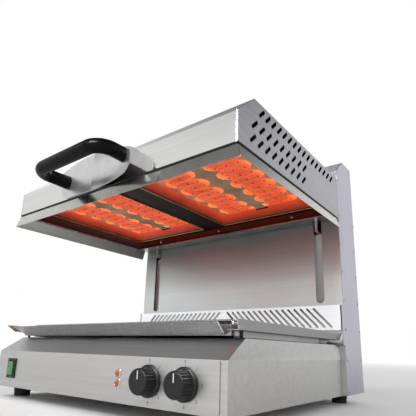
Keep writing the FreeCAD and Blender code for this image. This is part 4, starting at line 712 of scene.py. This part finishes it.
def ribbon_line(column, hand):
    """The middle line of one column of ribbon; hand is the side of its first turn."""
    points = [(column - hand * RIBBON_REACH, RIBBON_FRONT, RIBBON_LEVEL)]
    for strand in range(RIBBON_COUNT):
        side = hand if strand % 2 == 0 else -hand
        y = RIBBON_FRONT + strand * RIBBON_PITCH
        if strand == RIBBON_COUNT - 1:
            points.append((column + side * RIBBON_REACH, y, RIBBON_LEVEL))
            break
        for step in range(13):
            angle = math.pi * step / 12 - math.pi / 2
            points.append((column + side * (BEND_SHIFT + RIBBON_PITCH / 2 * math.cos(angle)),
                           y + RIBBON_PITCH / 2 * (1 + math.sin(angle)), RIBBON_LEVEL))
    return points


def make_ribbons():
    """Corrugated ribbon, two columns in each zone, and the wire staples that hold it."""
    sizes = {"Width": RIBBON_WIDTH * MM, "Thickness": 0.3 * MM, "Ripple Pitch": 6 * MM,
             "Ripple Height": 0.35 * MM, "Step": 0.9 * MM}
    places = []
    for word, zone in (("left", -ZONE_X), ("right", ZONE_X)):
        lines = [ribbon_line(zone + side * RIBBON_SHIFT, -side) for side in (-1, 1)]
        mesh = soften(grow(STRIP, line_mesh(lines), sizes, "ribbon"), 50)
        show(f"corrugated_ribbon_{word}", mesh, "ribbon", "hood", (f"ribbon_elements_{word}",))
        for side in (-1, 1):
            for strand in range(RIBBON_COUNT):
                for step in (-STAPLE_PITCH, 0, STAPLE_PITCH):
                    places.append(((zone + side * RIBBON_SHIFT + step,
                                    RIBBON_FRONT + strand * RIBBON_PITCH, RIBBON_LEVEL),
                                   (0, 0, 1)))
    wire = bpy.data.curves.new("wire", "CURVE")
    wire.dimensions = "3D"
    wire.bevel_depth = STAPLE_WIRE / 2 * MM
    wire.bevel_resolution = 1
    bend = wire.splines.new("POLY")
    corners = ((0, -1.9, 2.2), (0, -1.9, -0.3), (0, -1.2, -0.75), (0, 1.2, -0.75), (0, 1.9, -0.3),
               (0, 1.9, 2.2))
    bend.points.add(len(corners) - 1)
    for point, place in zip(bend.points, corners):
        point.co = (*(Vector(place) * MM), 1)
    model = plain_mesh(bpy.data.objects.new("wire", wire))
    mesh = soften(grow_copies(places, model, "staple"), 60)
    show("wire_staples", mesh, "staple", "hood", ("element_staples",))


def make_mouth_beads():
    """Thin rolled beads round the mouths of the two funnels."""
    side, end = (half - MOUTH_CORNER for half in MOUTH_HALF)
    centre = middle("reflector_left")[1]
    level = limits("zone_frame")[0][2] - BEAD_HEIGHT / 2
    lines = []
    for zone in (-ZONE_X, ZONE_X):
        line = []
        for sx, sy, start in ((1, -1, -90), (1, 1, 0), (-1, 1, 90), (-1, -1, 180)):
            for step in range(5):
                angle = math.radians(start + step * 22.5)
                line.append((zone + sx * side + MOUTH_CORNER * math.cos(angle),
                             centre + sy * end + MOUTH_CORNER * math.sin(angle), level))
        lines.append(line)
    sizes = {"Width": 2.4 * MM, "Thickness": BEAD_HEIGHT * MM, "Ripple Pitch": 1.0,
             "Step": 4 * MM}
    mesh = grow(STRIP, line_mesh(lines, closed=True), sizes, "rim")
    show("mouth_beads", mesh, "rim", "hood")


def make_seal():
    """A dark strip in the joint between the casing and the skirt: a painted shadow of the gap."""
    side, front, rear, level = CASING_SIDE - 0.4, HOOD_FRONT + 0.05, 165, HOOD_LEVEL - 0.7
    corners = [(-side, rear, level), (-side, front, level), (side, front, level),
               (side, rear, level)]
    sizes = {"Width": 1.4 * MM, "Thickness": GAP_SHADOW_HEIGHT * MM, "Ripple Pitch": 1.0, "Step": MM}
    mesh = grow(STRIP, line_mesh([corners]), sizes, "gap_shadow")
    show("seal_bead", mesh, "gap_shadow", "hood")


def screw_head(radius, height):
    """A domed screw head with a cross recess, made along Z."""
    dome = [(0, 0), (radius, 0), (radius, height * 0.3), (radius * 0.88, height * 0.68),
            (radius * 0.62, height * 0.9), (radius * 0.3, height * 0.99), (0, height)]
    arm, half, low = radius * 0.6, radius * 0.13, height * 0.42
    arms = [slab((-arm, arm), (-half, half), (low, height * 2)),
            slab((-half, half), (-arm, arm), (low, height * 2 + 0.1))]
    item = bpy.data.objects.new("head", turned(dome, 24))
    tools = []
    for mesh in arms:
        tool = bpy.data.objects.new("recess", mesh)
        bpy.context.scene.collection.objects.link(tool)
        cut = item.modifiers.new("recess", "BOOLEAN")
        cut.object = tool
        cut.solver = "EXACT"
        tools.append(tool)
    mesh = plain_mesh(item)
    for tool in tools:
        bpy.data.objects.remove(tool)
    return soften(mesh)


def make_screws():
    """Cross-recessed screws up both tower sides, under the skirt and on the rear of the liner."""
    head = screw_head(SCREW_RADIUS, SCREW_HEIGHT)
    casing = [((side * CASING_SIDE, y, CASING_FIRST + CASING_PITCH * i), (side, 0, 0))
              for side in (-1, 1) for y in CASING_ROWS for i in range(CASING_COUNT)]
    mesh = soften(grow_copies(casing, head, "zinc", SCREW_TWIST))
    show("cross_screws_casing", mesh, "zinc", "stand", ("casing_screws",))
    flange = limits("skirt_screws")[0][2] + SCREW_HEIGHT
    liner = limits("skirt_screws")[1][1]
    skirt = [((side * SKIRT_SIDE, SKIRT_FIRST + SKIRT_PITCH * i, flange), (0, 0, -1))
             for side in (-1, 1) for i in range(SKIRT_COUNT)]
    skirt += [((x, liner, LINER_LEVEL), (0, -1, 0)) for x in (-LINER_PITCH, 0, LINER_PITCH)]
    mesh = soften(grow_copies(skirt, head, "zinc", SCREW_TWIST))
    show("cross_screws_skirt", mesh, "zinc", "hood", ("skirt_screws",))


def make_knobs():
    """Fluted knobs with a white pointer, and the dials printed round them."""
    def flutes(angle, height):
        depth = 0.8 if 5.2 < height < 20.9 else 0
        return -depth * (0.5 + 0.5 * math.cos(22 * angle)) ** 2
    grip = [(0, -24), (3, -24), (3, 0), (21.6, 0), (22, 0.5), (22, 2.6), (21.2, 3.6), (19.4, 4.2),
            (19, 5), (18.9, 5.6), (18.2, 13), (17.4, 20.6), (17, 21.2), (16, 21.9), (14.5, 22),
            (12, 21.6), (0, 21.6)]
    knob = turned(grip, 176, flutes)
    pointer = slab((-0.9, 0.9), (3, 14.6), (21.4, 22), 0.25)
    marks = []
    for word in ("left", "right"):
        body = f"zone_knob_{word}"
        x, _, level = middle(body)
        place = facing((x, PANEL_FACE - 0.4, level), "-Y")
        show(f"fluted_knob_{word}", gathered([(knob, place)]), "knob", body, (body,))
        show(f"knob_pointer_{word}", gathered([(pointer, place)]), "print", body)
        for step in range(13):
            angle = math.radians(22.5 * step)
            long = 25.2 if step % 2 == 0 else 24.2
            tick = slab((-0.25, 0.25), (22.9, long), (-0.05, 0.1))
            turn = Matrix.Rotation(-angle, 4, "Z")
            marks.append((tick, facing((x, PANEL_FACE, level), "-Y") @ turn))
        for number in range(7):
            angle = math.radians(45 * number)
            centre = (x + DIAL_RADIUS * math.sin(angle), PANEL_FACE - 0.05,
                      level + DIAL_RADIUS * math.cos(angle))
            marks.append((figure(str(number), DIAL_FIGURE), facing(centre, "-Y")))
    x, _, level = middle("rocker")
    for text, reach in (("I", SWITCH_REACH), ("0", -SWITCH_REACH)):
        place = facing((x, PANEL_FACE - 0.05, level + reach), "-Y")
        marks.append((figure(text, SWITCH_FIGURE), place))
    show("dial_marks", gathered(marks), "dark_print", "stand")


def figure(text, height):
    """A printed figure, made flat in XY."""
    curve = bpy.data.curves.new("figure", "FONT")
    curve.body = text
    curve.size = height * MM * 1.35
    curve.align_x = "CENTER"
    curve.align_y = "CENTER"
    curve.extrude = 0.05 * MM
    curve.resolution_u = 3
    return plain_mesh(bpy.data.objects.new("figure", curve))


def make_lamps():
    """Domed amber lenses in bright bezels."""
    dome = [(0, -14), (4.6, -14), (4.9, -13.6), (4.9, 0.8), (4.6, 1.8), (3.9, 2.8), (2.8, 3.5),
            (1.4, 3.9), (0, 4)]
    ring = [(4.9, 0), (6.6, 0), (6.6, 0.8), (6.1, 1.5), (5.3, 1.6), (4.9, 1.2)]
    x, _, level = middle("pilot_lamps")
    spots = [facing((x, PANEL_FACE, level + reach), "-Y") for reach in (-LAMP_REACH, LAMP_REACH)]
    lens, bezel = turned(dome, 32), turned(ring, 40, loop=True)
    show("lamp_lenses", gathered([(lens, spot) for spot in spots]), "lens", "stand",
         ("pilot_lamps",))
    show("lamp_bezels", gathered([(bezel, spot) for spot in spots]), "rod", "stand")


def make_feet():
    """Ribbed rubber feet with a hollow sole."""
    sole = [(0, 3), (8, 3), (8.6, 0.3), (9, 0), (14.2, 0), (15, 0.8), (15.3, 5), (14.4, 5.8),
            (14.5, 7), (15.6, 7.8), (16, 11), (15.1, 11.8), (15.2, 13), (16.6, 13.8), (17.8, 18),
            (18, 19.4), (17.6, 20), (0, 20)]
    places = [((x, y, 0), (0, 0, 1)) for x in (-FOOT_SIDE, FOOT_SIDE) for y in FOOT_ROWS]
    mesh = soften(grow_copies(places, turned(sole, 40), "rubber"))
    show("ribbed_feet", mesh, "rubber", "stand", ("feet",))


def make_gland():
    """Cable gland: two hexagon nuts and a ribbed dome with an open bore."""
    def ribs(angle, height):
        return -0.7 * (0.5 + 0.5 * math.cos(16 * angle)) if 6.5 < height < 11 else 0
    dome = [(5, -7.2), (10, -7.2), (10, 6), (12.2, 6.2), (12.2, 7), (12, 10.6), (10.6, 12.6),
            (8.4, 13.7), (6.4, 14), (5, 13.4)]
    nut = [(10.05, 0.2), (13.6, 0), (15, 0.9), (15, 5.1), (13.6, 6), (10.05, 5.8)]
    hexagon = turned(nut, 6, loop=True)
    x, _, level = middle("cable_gland")
    outside = facing((x, REAR_FACE, level), "+Y")
    inside = facing((x, limits("cable_gland")[0][1], level), "+Y")
    parts = [(turned(dome, 96, ribs, True), outside), (hexagon, outside), (hexagon, inside)]
    show("ribbed_gland", gathered(parts), "gland", "stand", ("cable_gland",))


# Floor, lamps and camera

def make_floor():
    """Pale floor that turns into the white backdrop with distance and keeps the shadow."""
    mesh = bpy.data.meshes.new("studio_floor")
    reach = 30
    corners = [(-reach, -reach, 0), (reach, -reach, 0), (reach, reach, 0), (-reach, reach, 0)]
    mesh.from_pydata(corners, [], [(0, 1, 2, 3)])
    material, tree, place = start_material("pale_studio_floor")
    speck = add_node(tree, NOISE, {"Vector": place, "Scale": 1000 / 60})
    colour = add_node(tree, MIX, {0: speck, 6: srgb("#f2f2f2"), 7: srgb("#f6f6f6")},
                      data_type="RGBA").outputs[2]
    pale = add_node(tree, "ShaderNodeBsdfPrincipled", {"Base Color": colour, "Roughness": 0.7})
    distance = add_node(tree, "ShaderNodeVectorMath", [place], operation="LENGTH")
    far = add_node(tree, RANGE, (distance.outputs["Value"], 1.2, 5.0, 0.0, 1.0))
    ray = add_node(tree, "ShaderNodeLightPath").outputs
    seen = add_node(tree, MATH, (ray["Is Camera Ray"], ray["Is Glossy Ray"]), operation="MAXIMUM")
    amount = add_node(tree, MATH, (far, seen), operation="MULTIPLY")
    white = add_node(tree, "ShaderNodeEmission", {"Color": (1, 1, 1, 1), "Strength": 1.0})
    both = add_node(tree, "ShaderNodeMixShader", (amount, pale, white))
    add_node(tree, "ShaderNodeOutputMaterial", {"Surface": both})
    mesh.materials.append(material)
    floor = bpy.data.objects.new("studio_floor", mesh)
    bpy.context.scene.collection.objects.link(floor)


def make_world():
    """White surroundings with a dark ceiling over them, and an even light on everything.

    The ceiling shows in reflections alone: its grey goes by how steeply a reflection looks up.
    """
    world = bpy.data.worlds.new("studio")
    world.use_nodes = True
    tree = world.node_tree
    tree.nodes.clear()
    height = add_node(tree, "ShaderNodeTexCoord").outputs["Generated"]
    height = add_node(tree, AXES, [height]).outputs[2]
    ceiling = add_node(tree, "ShaderNodeValToRGB", [height])
    stops = ceiling.color_ramp.elements
    stops[0].position, stops[0].color = 0.48, (1, 1, 1, 1)
    stops[1].position, stops[1].color = 1.0, (0.32, 0.32, 0.32, 1)
    for position, grey in ((0.54, 0.8), (0.6, 0.46), (0.68, 0.23), (0.76, 0.1), (0.92, 0.1)):
        stops.new(position).color = (grey, grey, grey, 1)
    ray = add_node(tree, "ShaderNodeLightPath").outputs
    direct = (ray["Is Camera Ray"], ray["Is Transmission Ray"])
    direct = add_node(tree, MATH, direct, operation="MAXIMUM")
    seen = add_node(tree, MATH, (direct, ray["Is Glossy Ray"]), operation="MAXIMUM")
    mirrored = add_node(tree, MIX, {0: direct, 2: ceiling, 3: 1.0}, data_type="FLOAT")
    strength = add_node(tree, MIX, {0: seen, 2: 0.55, 3: mirrored}, data_type="FLOAT")
    sky = add_node(tree, "ShaderNodeBackground", {"Color": (1, 1, 1, 1), "Strength": strength})
    add_node(tree, "ShaderNodeOutputWorld", {"Surface": sky})
    bpy.context.scene.world = world


def make_lamp(name, place, aim, width, height, power, glossy=False):
    """A softbox that points at a place; a glossy one shows in polished surfaces alone."""
    light = bpy.data.lights.new(name, "AREA")
    light.shape = "RECTANGLE"
    light.size = width
    light.size_y = height
    light.energy = power
    lamp = bpy.data.objects.new(name, light)
    lamp.location = place
    lamp.rotation_euler = (Vector(aim) - Vector(place)).to_track_quat("-Z", "Y").to_euler()
    lamp.visible_glossy = glossy
    lamp.visible_diffuse = not glossy
    bpy.context.scene.collection.objects.link(lamp)


def make_camera():
    """The view that the photograph was fitted to: low on the right, through a 34 mm lens."""
    place = Vector((0.5618, -0.62675, 0.0985))
    forward = Vector((-0.5919, 0.7679, 0.2448)).normalized()
    right = Vector((0.7958, 0.6049, 0.0268))
    right = (right - forward * right.dot(forward)).normalized()
    up = right.cross(forward)
    lens = bpy.data.cameras.new("view")
    lens.sensor_width = 36
    lens.lens = 34.31
    lens.shift_y = 0.101
    camera = bpy.data.objects.new("view", lens)
    matrix = Matrix((right, up, -forward)).transposed().to_4x4()
    matrix.translation = place
    camera.matrix_world = matrix
    bpy.context.scene.collection.objects.link(camera)
    bpy.context.scene.camera = camera


bpy.context.scene.view_settings.view_transform = "Standard"
make_world()
make_floor()
make_lamp("key_softbox", (-1.8, -2.2, 2.8), (0, 0, 0.3), 2.4, 2.0, 60)
make_lamp("side_softbox", (2.8, -0.6, 1.8), (0, 0, 0.3), 1.8, 1.8, 24)
make_lamp("grip_softbox", (0.14, -1.95, 1.5), (0.06, -0.29, 0.416), 0.9, 0.7, 75, glossy=True)
make_camera()
dress_solids()
for sheet, radius in SHEETS.items():
    fold_edges(sheet, radius)
for round_piece in ROUND_PIECES:
    smooth_copy(round_piece)
STRIP = make_strip_tree()
COPIES = make_copy_tree()
make_ribbons()
make_mouth_beads()
make_seal()
make_screws()
make_knobs()
make_lamps()
make_feet()
make_gland()
